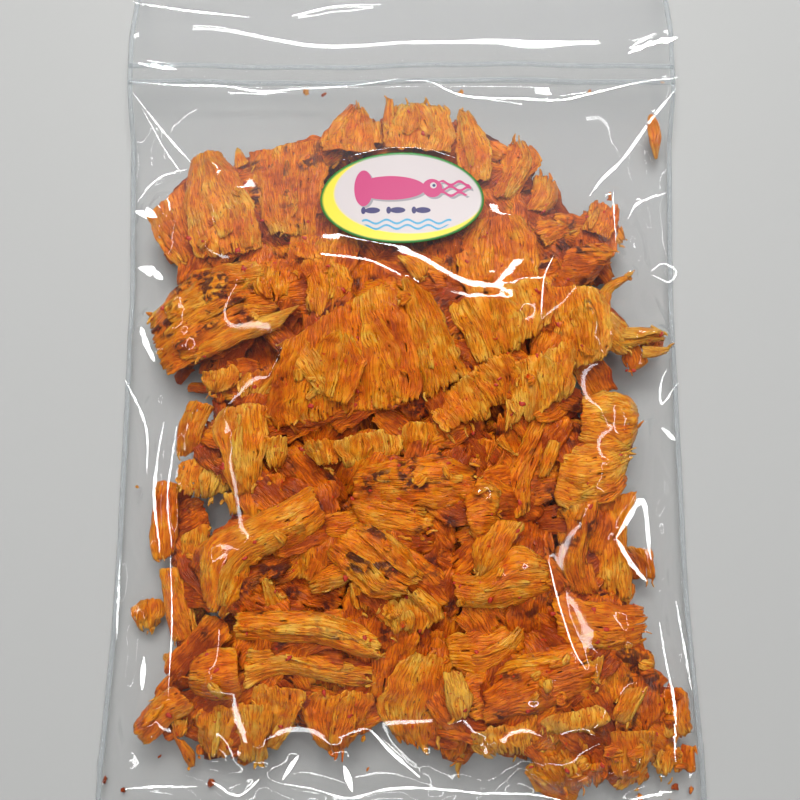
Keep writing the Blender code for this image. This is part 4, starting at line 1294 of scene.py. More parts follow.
def stray_creases(rng: np.random.Generator) -> list[Crease]:
    """Short seeded folds in the bare margins, most of them along the bag's sides.

    Args:
        rng: where the chances come from.

    Returns:
        The folds, each a little bent.
    """
    found = []
    for k in range(STRAY_CREASES):
        at_foot = k % STRAY_AT_FOOT == 0
        if at_foot:
            middle = np.array([rng.uniform(*STRAY_FOOT_X), rng.uniform(*STRAY_FOOT_Y)])
            angle = rng.normal(0.0, 0.7)
        else:
            y = rng.uniform(*STRAY_SIDE_Y)
            inside = float(half_width(np.array(y))) - rng.uniform(*STRAY_SIDE_INSET)
            middle = np.array([rng.choice([-1.0, 1.0]) * inside, y])
            angle = math.pi / 2 + rng.normal(0.0, 0.3)
        reach = rng.uniform(*STRAY_REACH)
        bend = rng.normal(0.0, 0.35)
        before = middle - reach * compass(angle - bend)
        after = middle + reach * compass(angle + bend)
        height = rng.uniform(*STRAY_HEIGHT)
        path = tuple(tuple(map(float, point)) for point in (before, middle, after))
        found.append(Crease(path, height, height * rng.uniform(1.7, 2.1)))
    return found


class FilmEnvelope:
    """The bag's clear film: a closed envelope that settles over the heap.

    CLEAR is its gap to the food, BACK_LIFT the back film's gap to the floor, and APART the gap
    between front and back. LEVELS are the steps of the grid, coarse to fine, and ROUNDS how
    often each is smoothed. CLIMB and LIP_BEND tell how far from the zip the film starts to rise
    before it and to fall beyond it. HELD_AT_SIDE and HELD_AT_ZIP are the widths that the seams
    and the zip hold. LABEL_REACH is how far out, in the label's radii, the film stays smooth.
    """

    BACK_STRIDE = 4
    CLEAR = 0.35
    BACK_LIFT = 0.12
    SAG = 0.05
    SAG_FADE = (18.0, 34.0)
    LEVELS = (12, 6, 3, 1)
    ROUNDS = 160
    CLIMB = 20.0
    LIP_BEND = 16.0
    APART = 0.25
    LEAST_APART = 0.2
    HELD_AT_SIDE = 2.0
    HELD_AT_ZIP = 5.0
    LABEL_REACH = 1.15

    def __init__(self, heap: SquidHeap, seed: int) -> None:
        """A film that isn't settled yet, over a heap that is made.

        Args:
            heap: the squid that it settles on.
            seed: where the chances start.
        """
        self.heap = heap
        self.rng = np.random.default_rng(seed)
        self.slack = Noise(self.rng)
        self.front = Relief(FILM_STEP)
        self.back = Relief(FILM_STEP)
        self.object: bpy.types.Object | None = None

    def base(self, x: np.ndarray, y: np.ndarray) -> np.ndarray:
        """Height of the back film: flat under the food, up to the seams and over the zip.

        Args:
            x: places across the bag.
            y: places along it.

        Returns:
            The heights, shaped like x.
        """
        from_side = half_width(y) - np.abs(x)
        edge = np.minimum(from_side, y + BAG_LENGTH / 2)
        side = SEAM_HEIGHT * (1.0 - smooth_step(0.0, SIDE_RISE, edge))
        climb = smooth_step(FOOD_END_Y - self.CLIMB, ZIP_Y, y) * ZIP_HEIGHT
        start = ZIP_Y + self.LIP_BEND + 6.0 * self.slack.at(x / 38.0, 30.5)
        fall = np.clip((y - start) / (BAG_LENGTH / 2 - start), 0.0, 1.0) * LIP_DROP
        wave = 0.8 * np.sin(x / 30.0) * smooth_step(FOOD_END_Y, ZIP_Y, y)
        loose = smooth_step(ZIP_Y + 2.0, ZIP_Y + 12.0, y)
        wave = wave + 0.7 * loose * self.slack.at(x / 24.0, y / 13.0)
        return np.maximum(side, climb - fall + wave) + self.BACK_LIFT

    def settle(self) -> None:
        """Lets the front film sink onto the heap, from a coarse grid to the full one.

        At each level every free height becomes the mean of its four neighbours, lowered by the
        film's sag near the edges, but never less than the food or the back film under it.
        """
        x, y = self.front.grid()
        low = self.base(x, y)
        food = self.heap.top.height + self.CLEAR
        seat = Label.seat(x, y)
        food = np.where(Label.reach(x, y) < self.LABEL_REACH, np.maximum(food, seat), food)
        floor = low + self.APART
        food = np.maximum(food, floor)
        edge = np.minimum(half_width(y) - np.abs(x), y + BAG_LENGTH / 2)
        held = (edge < self.HELD_AT_SIDE) | (y > ZIP_Y - self.HELD_AT_ZIP)
        height = food.copy()
        sag = self.SAG * (1.0 - smooth_step(*self.SAG_FADE, edge))
        for level in self.LEVELS:
            height = self.relaxed(height, food, floor, held, sag, level)
        bare = smooth_step(1.0, self.LABEL_REACH, Label.reach(x, y))
        for crease in [*CREASES, *stray_creases(self.rng)]:
            height = height + bare * crease.lift(x, y)
        self.front.height = np.maximum(height, low + self.LEAST_APART)
        self.back.height = low

    def relaxed(
        self,
        height: np.ndarray,
        food: np.ndarray,
        floor: np.ndarray,
        held: np.ndarray,
        sag: np.ndarray,
        level: int,
    ) -> np.ndarray:
        """One level of the settling, on every level-th line of the grid.

        Args:
            height: the front film so far.
            food: the least that it may be.
            floor: its height where it is held.
            held: where the seams and the zip hold it.
            sag: its sag in one cell of the full grid.
            level: how many lines of the grid one step takes.

        Returns:
            The settled heights on the full grid.
        """
        rows, columns = height.shape
        r = np.unique(np.append(np.arange(0, rows, level), rows - 1))
        c = np.unique(np.append(np.arange(0, columns, level), columns - 1))
        h = height[np.ix_(r, c)]
        least = self.highest(food, r, c)
        pinned = held[np.ix_(r, c)]
        fixed = floor[np.ix_(r, c)]
        pull = sag[np.ix_(r, c)] * (level * FILM_STEP) ** 2 / 4.0
        h = np.where(pinned, fixed, np.maximum(h, least))
        for _ in range(self.ROUNDS):
            mean = h.copy()
            mean[1:-1, 1:-1] = (h[:-2, 1:-1] + h[2:, 1:-1] + h[1:-1, :-2] + h[1:-1, 2:]) / 4
            h = np.where(pinned, fixed, np.maximum(mean - pull, least))
        if level == 1:
            return h
        return self.spread(h, r, c, rows, columns)

    @staticmethod
    def highest(food: np.ndarray, r: np.ndarray, c: np.ndarray) -> np.ndarray:
        """The highest food in each coarse cell that starts at rows r and columns c."""
        tall = np.maximum.reduceat(food, r, axis=0)
        return np.maximum.reduceat(tall, c, axis=1)

    @staticmethod
    def spread(
        h: np.ndarray, r: np.ndarray, c: np.ndarray, rows: int, columns: int
    ) -> np.ndarray:
        """The coarse heights read at every line, blended along rows and then columns.

        Args:
            h: heights at the coarse crossings.
            r: their rows in the full grid.
            c: their columns in it.
            rows: how many rows the full grid has.
            columns: how many columns it has.

        Returns:
            Heights on the full grid.
        """
        k = np.clip(np.searchsorted(r, np.arange(rows), side="right") - 1, 0, len(r) - 2)
        t = ((np.arange(rows) - r[k]) / (r[k + 1] - r[k]))[:, None]
        tall = h[k] * (1 - t) + h[k + 1] * t
        k = np.clip(np.searchsorted(c, np.arange(columns), side="right") - 1, 0, len(c) - 2)
        s = ((np.arange(columns) - c[k]) / (c[k + 1] - c[k]))[None, :]
        return tall[:, k] * (1 - s) + tall[:, k + 1] * s

    def build(self, material: bpy.types.Material) -> None:
        """Makes the closed envelope: a fine front film, a coarser back film and their rim.

        Args:
            material: the film.
        """
        x, y = self.front.grid()
        stride = self.BACK_STRIDE
        front = np.stack([x, y, self.front.height], axis=-1)
        back = np.stack([x, y, self.back.height], axis=-1)[::stride, ::stride]
        fine = np.arange(x.size).reshape(x.shape)
        coarse = np.arange(back[..., 0].size).reshape(back.shape[:2]) + x.size
        upper = np.stack([fine[:-1, :-1], fine[:-1, 1:], fine[1:, 1:], fine[1:, :-1]], axis=-1)
        lower = np.stack(
            [coarse[:-1, :-1], coarse[1:, :-1], coarse[1:, 1:], coarse[:-1, 1:]], axis=-1
        )
        points = np.concatenate([front.reshape(-1, 3), back.reshape(-1, 3)])
        skin = Skin(
            points=points,
            quads=np.concatenate([upper.reshape(-1, 4), lower.reshape(-1, 4)]),
            tris=self.rim_faces(self.round_trip(fine), self.round_trip(coarse)),
            uv=points[:, :2] / UV_SIZE,
        )
        self.object = skin.to_object("bag_film", material)

    @staticmethod
    def round_trip(index: np.ndarray) -> np.ndarray:
        """The point numbers around a grid's rim, anticlockwise and back to the first.

        Args:
            index: point numbers, rows by columns.

        Returns:
            The numbers of the rim, with the first one once more at the end.
        """
        return np.concatenate(
            [index[0, :-1], index[:-1, -1], index[-1, :0:-1], index[:0:-1, 0], index[0, :1]]
        )

    def rim_faces(self, fine: np.ndarray, coarse: np.ndarray) -> np.ndarray:
        """Triangles between the fine front rim and the coarse back rim, facing outwards.

        Args:
            fine: numbers around the front film.
            coarse: numbers around the back film.

        Returns:
            Corner numbers, three to a face.
        """
        stride = self.BACK_STRIDE
        base = np.repeat(coarse[:-1], stride)
        fans = np.stack([base, fine[1:], fine[:-1]], axis=-1)
        feet = np.stack([coarse[:-1], coarse[1:], fine[stride::stride]], axis=-1)
        return np.concatenate([fans, feet])


class Label:
    """The oval sticker on the film, with a squid, waves and fields of colour on it."""

    SEAT_Z = 28.0
    CROWN = 1.2
    GAP = 0.12
    THICKNESS = 0.14
    RINGS = 25
    SECTORS = 120

    @staticmethod
    def reach(x: np.ndarray, y: np.ndarray) -> np.ndarray:
        """1 on the label's edge, less inside it.

        Args:
            x: places across the bag.
            y: places along it.

        Returns:
            The distance from the label's middle as a share of its radius that way.
        """
        return np.hypot(
            (x - LABEL_CENTRE[0]) / (LABEL_SIZE[0] / 2), (y - LABEL_CENTRE[1]) / (LABEL_SIZE[1] / 2)
        )

    @classmethod
    def seat(cls, x: np.ndarray, y: np.ndarray) -> np.ndarray:
        """Height of the film under the label: a low crown that falls to its two ends."""
        return cls.SEAT_Z - cls.CROWN * ((x - LABEL_CENTRE[0]) / (LABEL_SIZE[0] / 2)) ** 2

    def __init__(self, film: FilmEnvelope) -> None:
        """A sticker for a film that has settled."""
        self.film = film
        self.object: bpy.types.Object | None = None

    def build(self, material: bpy.types.Material) -> None:
        """Makes the sticker: a thin oval plate, draped on the film's height.

        Args:
            material: the print.
        """
        out = np.linspace(0.0, 1.0, self.RINGS + 1)[1:, None]
        angle = np.linspace(0.0, 2 * np.pi, self.SECTORS, endpoint=False)[None, :]
        across = np.append(0.0, out * np.cos(angle) * LABEL_SIZE[0] / 2)
        up = np.append(0.0, out * np.sin(angle) * LABEL_SIZE[1] / 2)
        x, y = LABEL_CENTRE[0] + across, LABEL_CENTRE[1] + up
        low = np.stack([x, y, self.film.front.at(x, y) + self.GAP], axis=-1)
        top = low + np.array([0.0, 0.0, self.THICKNESS])
        ring = 1 + np.arange(self.RINGS * self.SECTORS).reshape(self.RINGS, self.SECTORS)
        after = np.roll(ring, -1, axis=1)
        fan = np.stack([0 * ring[0], ring[0], after[0]], axis=-1)
        face = np.stack([ring[:-1], ring[1:], after[1:], after[:-1]], axis=-1).reshape(-1, 4)
        rim, count = np.stack([ring[-1], after[-1]]), len(x)
        wall = np.stack([rim[0], rim[0] + count, rim[1] + count, rim[1]], axis=-1)
        uv = np.stack([across, up], axis=-1) / UV_SIZE
        skin = Skin(
            points=np.concatenate([top, low]),
            quads=np.concatenate([face, face[:, ::-1] + count, wall]),
            tris=np.concatenate([fan, fan[:, ::-1] + count]),
            uv=np.concatenate([uv, uv]),
        )
        self.object = skin.to_object("oval_label", material)


class ZipMouth:
    """The zip's two ribs and the welded edges of the bag, all in the bag's own plastic."""

    RIB_WIDTH = 1.9
    RIB_RISE = 0.6
    RIB_SEAT = 0.25
    RIB_ROOT = 0.15
    RIB_ROWS = 400
    RIB_COLUMNS = 9
    CRIMP_START = 78.0
    CRIMP_FADE = 6.0
    CRIMP_DEPTH = 0.45
    CRIMP_TURNS = 4.2
    SEAM_WIDTH = 1.6
    SEAM_INSET = 0.2
    SEAM_SEAT = 0.22
    SEAM_RISE = 0.12
    SEAM_ROOT = 0.5
    SEAM_ROWS = 260
    SEAM_COLUMNS = 5
    END_GAP = 0.4

    def __init__(self, film: FilmEnvelope) -> None:
        """A zip and seams for a film that has settled."""
        self.film = film
        self.objects: list[bpy.types.Object] = []

    def rib(self, y_line: float) -> Skin:
        """One rib across the mouth: a rounded bar that waves a little and is crimped at its ends.

        Args:
            y_line: where the rib's middle line lies along the bag.

        Returns:
            The bar, whose section is half an ellipse on the film.
        """
        reach = float(half_width(np.array(y_line))) - self.END_GAP
        x = np.linspace(-reach, reach, self.RIB_ROWS)[:, None]
        v = np.linspace(-0.5, 0.5, self.RIB_COLUMNS)[None, :]
        wander = 0.35 * np.sin(x / 17.0) + 0.2 * np.sin(x / 6.3 + 1.0)
        y = y_line + wander + v * self.RIB_WIDTH
        crimp = smooth_step(self.CRIMP_START, self.CRIMP_START + self.CRIMP_FADE, np.abs(x))
        dent = 1.0 - self.CRIMP_DEPTH * crimp * (0.5 + 0.5 * np.sin(x * self.CRIMP_TURNS))
        rise = self.RIB_RISE * np.sqrt(np.maximum(1.0 - 4.0 * v * v, 0.0)) * dent
        x = np.broadcast_to(x, y.shape)
        z = self.film.front.at(x, y) + self.RIB_SEAT
        top = np.stack([x, y, z + rise], axis=-1)
        return plate(top, np.stack([x, y, z - self.RIB_ROOT], axis=-1))

    def seam(self, side: int) -> Skin:
        """The welded edge along one side of the bag, a flat band that follows the film.

        Args:
            side: -1 for the left side and 1 for the right one.

        Returns:
            The band.
        """
        reach = BAG_LENGTH / 2 - self.END_GAP
        y = np.linspace(-reach, reach, self.SEAM_ROWS)[:, None]
        v = np.linspace(-0.5, 0.5, self.SEAM_COLUMNS)[None, :]
        middle = side * (half_width(y) - self.SEAM_INSET - self.SEAM_WIDTH / 2)
        x = middle - v * self.SEAM_WIDTH
        y = np.broadcast_to(y, x.shape)
        z = self.film.front.at(x, y) + self.SEAM_SEAT
        top = np.stack([x, y, z + self.SEAM_RISE], axis=-1)
        return plate(top, np.stack([x, y, z - self.SEAM_ROOT], axis=-1))

    def build(self, material: bpy.types.Material) -> None:
        """Makes the ribs and the seams as two meshes.

        Args:
            material: the zip's plastic.
        """
        ribs = [self.rib(ZIP_Y + k * ZIP_GAP / 2) for k in (-1, 1)]
        self.objects.append(Skin.joined(ribs).to_object("zip_ribs", material))
        seams = [self.seam(side) for side in (-1, 1)]
        self.objects.append(Skin.joined(seams).to_object("side_seams", material))


class Crumbs:
    """Loose crumbs in the bag's corners and chilli specks on the squid."""

    PLACES = (
        (-35.0, 104.4, 9.0, 2.6, 0.35),
        (-28.5, 103.5, 9.0, 2.0, 0.95),
        (21.9, 104.4, 9.0, 2.2, 0.4),
        (54.0, 103.5, 9.0, 1.0, 0.3),
        (69.2, 104.8, 9.0, 1.6, 0.5),
        (96.0, 108.0, 9.5, 1.2, 0.6),
        (-91.7, -40.0, 3.0, 1.2, 0.3),
        (-80.1, -129.1, 2.2, 1.5, 1.0),
        (-91.8, -139.8, 1.8, 1.6, 1.0),
        (-62.9, -137.6, 2.0, 2.6, 0.95),
        (-98.0, -136.6, 1.8, 2.4, 0.9),
        (-11.1, -133.2, 2.0, 1.6, 0.4),
        (90.2, -138.8, 2.0, 2.8, 0.8),
        (95.5, -139.8, 1.8, 2.4, 0.6),
        (78.5, -141.9, 1.8, 2.4, 0.4),
        (88.4, -143.9, 1.8, 2.6, 0.5),
    )
    SPECKS = 220
    SPECK_LOWEST = 10.0
    SPECK_SINK = 0.1
    SPECK_RARITY = 2.2

    def __init__(self, heap: SquidHeap, seed: int) -> None:
        """Crumbs and specks for a heap that is made.

        Args:
            heap: the squid that the specks lie on.
            seed: where the chances start.
        """
        self.heap = heap
        self.rng = np.random.default_rng(seed)
        self.objects: list[bpy.types.Object] = []

    def pebbles(self, places: np.ndarray, sizes: np.ndarray, tones: np.ndarray) -> Skin:
        """Small flat uneven lumps, one at each place.

        Args:
            places: middles of the lumps.
            sizes: their lengths.
            tones: their tones, as a flake's.

        Returns:
            All lumps as one skin of squashed, jittered octahedra with their edges split once.
        """
        work = bmesh.new()
        bmesh.ops.create_icosphere(work, subdivisions=2, radius=0.5)
        ball = np.array([v.co[:] for v in work.verts])
        tris = np.array([[v.index for v in f.verts] for f in work.faces])
        work.free()
        n, m = len(places), len(ball)
        turn = self.rng.uniform(0, 2 * np.pi, n)[:, None]
        shape = self.rng.uniform(0.6, 1.4, (n, m, 1)) * ball[None]
        stretch = np.stack(
            [np.ones(n), self.rng.uniform(0.4, 0.9, n), self.rng.uniform(0.18, 0.35, n)], axis=-1
        )
        shape = shape * stretch[:, None, :] * sizes[:, None, None]
        x = shape[..., 0] * np.cos(turn) - shape[..., 1] * np.sin(turn)
        y = shape[..., 0] * np.sin(turn) + shape[..., 1] * np.cos(turn)
        points = np.stack([x, y, shape[..., 2]], axis=-1) + places[:, None, :]
        faces = tris[None] + np.arange(n)[:, None, None] * m
        flat = points.reshape(-1, 3)
        return Skin(
            points=flat,
            quads=np.zeros((0, 4), int),
            tris=faces.reshape(-1, 3),
            uv=flat[:, :2] / UV_SIZE,
            values={
                "tone": np.repeat(tones, m),
                "char": np.zeros(n * m),
                # painted shade: a little groove shade all over the crumbs
                "groove_shade": np.full(n * m, 0.8),
            },
        )

    def build(self, squid: bpy.types.Material, chilli: bpy.types.Material) -> None:
        """Makes the crumbs at listed places and scatters the chilli on the heap's top.

        Args:
            squid: the squid, for the crumbs.
            chilli: the chilli.
        """
        rows = np.array(self.PLACES)
        crumbs = self.pebbles(rows[:, :3], rows[:, 3], rows[:, 4])
        self.objects.append(crumbs.to_object("squid_crumbs", squid))
        top = self.heap.top
        x, y = top.grid()
        food = np.flatnonzero(top.height.ravel() > self.SPECK_LOWEST)
        picks = self.rng.choice(food, self.SPECKS, replace=False)
        z = top.height.ravel()[picks] - self.SPECK_SINK
        places = np.stack([x.ravel()[picks], y.ravel()[picks], z], axis=-1)
        sizes = 0.6 + 1.9 * self.rng.random(len(picks)) ** self.SPECK_RARITY
        specks = self.pebbles(places, sizes, np.full(len(picks), 1.0))
        self.objects.append(specks.to_object("chilli_specks", chilli))


class Graph:
    """Short hand for adding nodes to a shader tree and joining them."""

    def __init__(self, tree: bpy.types.NodeTree) -> None:
        """Starts on a tree."""
        self.tree = tree

    def add(
        self, kind: str, given: dict[str | int, object] | None = None, **settings: object
    ) -> bpy.types.Node:
        """A new node.

        Args:
            kind: the node's type.
            given: what its inputs get, by their names: outputs of other nodes or plain values.
            settings: the node's own settings.

        Returns:
            The node.
        """
        node = self.tree.nodes.new(kind)
        for key, value in settings.items():
            setattr(node, key, value)
        for key, value in (given or {}).items():
            self.join(value, node.inputs[key])
        return node

    def join(self, source: object, target: bpy.types.NodeSocket) -> None:
        """Links an output to an input, or sets the input if the source is a plain value.

        Args:
            source: an output or a plain value.
            target: the input.
        """
        if isinstance(source, bpy.types.NodeSocket):
            self.tree.links.new(source, target)
        else:
            target.default_value = source

    def read(self, name: str) -> object:
        """The value of a point attribute."""
        return self.add("ShaderNodeAttribute", attribute_name=name).outputs["Fac"]

    def split(self, place: object) -> bpy.types.NodeOutputs:
        """X, Y and Z of a vector as outputs."""
        return self.add("ShaderNodeSeparateXYZ", {0: place}).outputs

    def maths(self, operation: str, *inputs: object) -> object:
        """A Math node's output for the given inputs."""
        return self.add("ShaderNodeMath", dict(enumerate(inputs)), operation=operation).outputs[0]

    def vectors(self, operation: str, *inputs: object, out: str = "Vector") -> object:
        """A Vector Math node's output of that name for the given inputs."""
        given = dict(enumerate(inputs))
        return self.add("ShaderNodeVectorMath", given, operation=operation).outputs[out]

    def blend(self, share: object, first: object, second: object) -> object:
        """A colour between first and second."""
        given = {"Factor": share, "A": first, "B": second}
        return self.add("ShaderNodeMix", given, data_type="RGBA").outputs["Result"]

    def noise(self, place: object, scale: float, detail: float = 2.0) -> object:
        """The value of a noise texture read at a place."""
        given = {"Vector": place, "Scale": scale, "Detail": detail}
        return self.add("ShaderNodeTexNoise", given).outputs["Fac"]

    def bump(self, height: object, strength: float, distance: float) -> object:
        """The normal of a surface that a height raises by up to a distance in metres."""
        given = {"Height": height, "Strength": strength, "Distance": distance}
        return self.add("ShaderNodeBump", given).outputs["Normal"]

    def span(
        self, value: object, low: float, high: float, to: tuple[float, float] = (0.0, 1.0)
    ) -> object:
        """A value mapped from low..high to another range, clamped, with a smooth S.

        Args:
            value: the value.
            low: what becomes the start of the new range.
            high: what becomes its end.
            to: the new range.

        Returns:
            The mapped value.
        """
        given = {"Value": value, "From Min": low, "From Max": high, "To Min": to[0], "To Max": to[1]}
        node = self.add("ShaderNodeMapRange", given, interpolation_type="SMOOTHSTEP")
        return node.outputs["Result"]


def linear(red: float, green: float, blue: float) -> tuple[float, float, float, float]:
    """A screen colour of 0 to 255 as the renderer's linear colour."""
    parts = [c / 255.0 for c in (red, green, blue)]
    return (*[c / 12.92 if c <= 0.04045 else ((c + 0.055) / 1.055) ** 2.4 for c in parts], 1.0)


def new_material(name: str) -> tuple[bpy.types.Material, Graph, bpy.types.Node]:
    """Makes an empty node material.

    Args:
        name: the material's name.

    Returns:
        The material, its graph and its output node.
    """
    material = bpy.data.materials.new(name)
    material.use_nodes = True
    material.node_tree.nodes.clear()
    graph = Graph(material.node_tree)
    return material, graph, graph.add("ShaderNodeOutputMaterial")


@dataclass(frozen=True)
class SquidFinish:
    """Dried squid: fibrous, from pale yellow to deep orange, browned in patches, a little oily,
    with painted shade in its fibre grooves and clefts and painted highlight on the strands' backs.
    """

    pale: tuple = linear(255, 190, 70)
    gold: tuple = linear(253, 154, 20)
    orange: tuple = linear(240, 118, 6)
    deep: tuple = linear(164, 62, 2)
    brown: tuple = linear(74, 24, 18)
    groove_shade: tuple = linear(164, 60, 0)
    chilli: tuple = linear(212, 52, 8)
    roughness: float = 0.27
    relief: float = 0.34
    ior: float = 1.4
    gloss: float = 0.36
    glow: float = 0.2
    glow_colour: tuple = (1.0, 0.4, 0.08)
    glow_reach: float = 1.6
    wander: float = 0.014
    drift: tuple = (30.0, 16.0, 1.0)
    strand: tuple = (76.0, 8.0, 1.0)
    thread: tuple = (160.0, 18.0, 1.0)
    hair: tuple = (460.0, 40.0, 1.0)
    pit: tuple = (125.0, 34.0, 1.0)
    blotch_scale: float = 110.0
    patch_scale: float = 320.0
    spot_scale: float = 420.0
    blotch_share: float = 1.3
    patch_share: float = 0.7
    weave_light_share: float = 0.24
    groove_shade_share: float = 0.45
    cleft_shade_share: float = 0.62
    pit_shade_share: float = 0.75
    burnt_share: float = 0.92
    chip_share: float = 0.85
    chips: tuple = ((900.0, 0.72), (470.0, 0.74))
    stops: tuple = (0.02, 0.32, 0.64, 0.98)

    @staticmethod
    def cleft(g: Graph, thread: object, pitch: tuple, wide: float) -> object:
        """Strands that part and join: 0 in the clefts between them and 1 on their backs."""
        noise = g.noise(g.vectors("MULTIPLY", thread, pitch), 1.0, 2.0)
        return g.span(g.maths("ABSOLUTE", g.maths("SUBTRACT", noise, 0.5)), 0.0, wide)

    def build(self) -> bpy.types.Material:
        """The squid's material. It reads the fibres' UV map and the tone, char and painted groove shade.

        Returns:
            The material.
        """
        material, g, out = new_material("squid")
        fibres = g.add("ShaderNodeUVMap", uv_map="fibres").outputs["UV"]
        place = g.add("ShaderNodeTexCoord").outputs["Object"]
        tone, char, groove_shade = (g.read(name) for name in ("tone", "char", "groove_shade"))

        drift = g.noise(g.vectors("MULTIPLY", fibres, self.drift), 1.0, 2.0)
        shift = g.maths("MULTIPLY", g.maths("SUBTRACT", drift, 0.5), self.wander)
        aside = g.add("ShaderNodeCombineXYZ", {"X": shift})
        thread = g.vectors("ADD", fibres, aside.outputs[0])
        strands = self.cleft(g, thread, self.strand, 0.12)
        threads = self.cleft(g, thread, self.thread, 0.11)
        hair = g.noise(g.vectors("MULTIPLY", thread, self.hair), 1.0, 2.0)
        weave = g.maths("MULTIPLY_ADD", threads, 0.28, g.maths("MULTIPLY", strands, 0.72))
        blotch = g.noise(place, self.blotch_scale, 3.0)
        patch = g.noise(place, self.patch_scale)

        shade = g.maths("MULTIPLY_ADD", g.maths("SUBTRACT", blotch, 0.5), self.blotch_share, tone)
        shade = g.maths("MULTIPLY_ADD", g.maths("SUBTRACT", patch, 0.5), self.patch_share, shade)
        # Painted highlight and shade: strand backs turn paler and the clefts between them deeper.
        shade = g.maths("MULTIPLY_ADD", g.maths("SUBTRACT", 0.6, weave), self.weave_light_share, shade)
        ramp = g.add("ShaderNodeValToRGB", {"Fac": shade})
        stops = ramp.color_ramp.elements
        stops[0].position, stops[0].color = self.stops[0], self.pale
        stops[1].position, stops[1].color = self.stops[-1], self.deep
        for position, colour in zip(self.stops[1:-1], (self.gold, self.orange)):
            stop = stops.new(position)
            stop.color = colour
        # Painted shade: the clefts between strands and the low parts of the fibre grooves blend towards the
        # darker groove_shade colour.
        cleft_shade = g.maths("MULTIPLY", g.span(weave, 0.45, 0.0), self.cleft_shade_share)
        low = g.maths("MULTIPLY", g.maths("SUBTRACT", 1.0, groove_shade), self.groove_shade_share)
        colour = g.blend(g.maths("MAXIMUM", cleft_shade, low), ramp.outputs["Color"], self.groove_shade)
        # Painted shade: short dark brown dashes in the gaps between fibres.
        pit_shade = g.noise(g.vectors("MULTIPLY", thread, self.pit), 1.0, 1.0)
        pit_shade = g.maths("MULTIPLY", g.span(pit_shade, 0.70, 0.75), self.pit_shade_share)
        colour = g.blend(pit_shade, colour, self.brown)
        spots = g.span(g.noise(place, self.spot_scale), 0.40, 0.56)
        burnt = g.maths("MULTIPLY", g.maths("MULTIPLY", char, spots), self.burnt_share)
        colour = g.blend(burnt, colour, self.brown)
        for scale, least in self.chips:
            chips = g.span(g.noise(place, scale, 1.0), least, least + 0.03)
            colour = g.blend(g.maths("MULTIPLY", chips, self.chip_share), colour, self.chilli)

        height = g.maths("MULTIPLY_ADD", hair, 0.5, weave)
        height = g.maths("MULTIPLY_ADD", patch, 1.4, height)
        given = {
            "Base Color": colour,
            "Normal": g.bump(height, 1.0, self.relief * MM),
            "Roughness": g.maths("MULTIPLY_ADD", blotch, 0.3, self.roughness - 0.12),
            "IOR": self.ior,
            "Specular IOR Level": self.gloss,
            "Subsurface Weight": self.glow,
            "Subsurface Radius": self.glow_colour,
            "Subsurface Scale": self.glow_reach * MM,
        }
        shader = g.add("ShaderNodeBsdfPrincipled", given)
        g.join(shader.outputs["BSDF"], out.inputs["Surface"])
        return material


@dataclass(frozen=True)
class PlainFinish:
    """One even colour."""

    name: str
    colour: tuple
    roughness: float

    def build(self) -> bpy.types.Material:
        """A Principled material of that colour and roughness.

        Returns:
            The material.
        """
        material, g, out = new_material(self.name)
        given = {"Base Color": self.colour, "Roughness": self.roughness}
        shader = g.add("ShaderNodeBsdfPrincipled", given)
        g.join(shader.outputs["BSDF"], out.inputs["Surface"])
        return material


def crinkle_group() -> bpy.types.NodeTree:
    """A node group shared by all plastic: the height of its fine crinkles at a place.

    Returns:
        The group, made once. Its height is noise plus the distance to scattered points.
    """
    made = bpy.data.node_groups.get("film_crinkle")
    if made:
        return made
    tree = bpy.data.node_groups.new("film_crinkle", "ShaderNodeTree")
    tree.interface.new_socket("Place", in_out="INPUT", socket_type="NodeSocketVector")
    tree.interface.new_socket("Height", in_out="OUTPUT", socket_type="NodeSocketFloat")
    g = Graph(tree)
    place = g.add("NodeGroupInput").outputs["Place"]
    facets = g.add("ShaderNodeTexVoronoi", {"Vector": place, "Scale": 55.0}).outputs["Distance"]
    fine = g.maths("MULTIPLY_ADD", facets, 0.9, g.noise(place, 160.0, 4.0))
    g.add("NodeGroupOutput", {"Height": fine})
    return tree


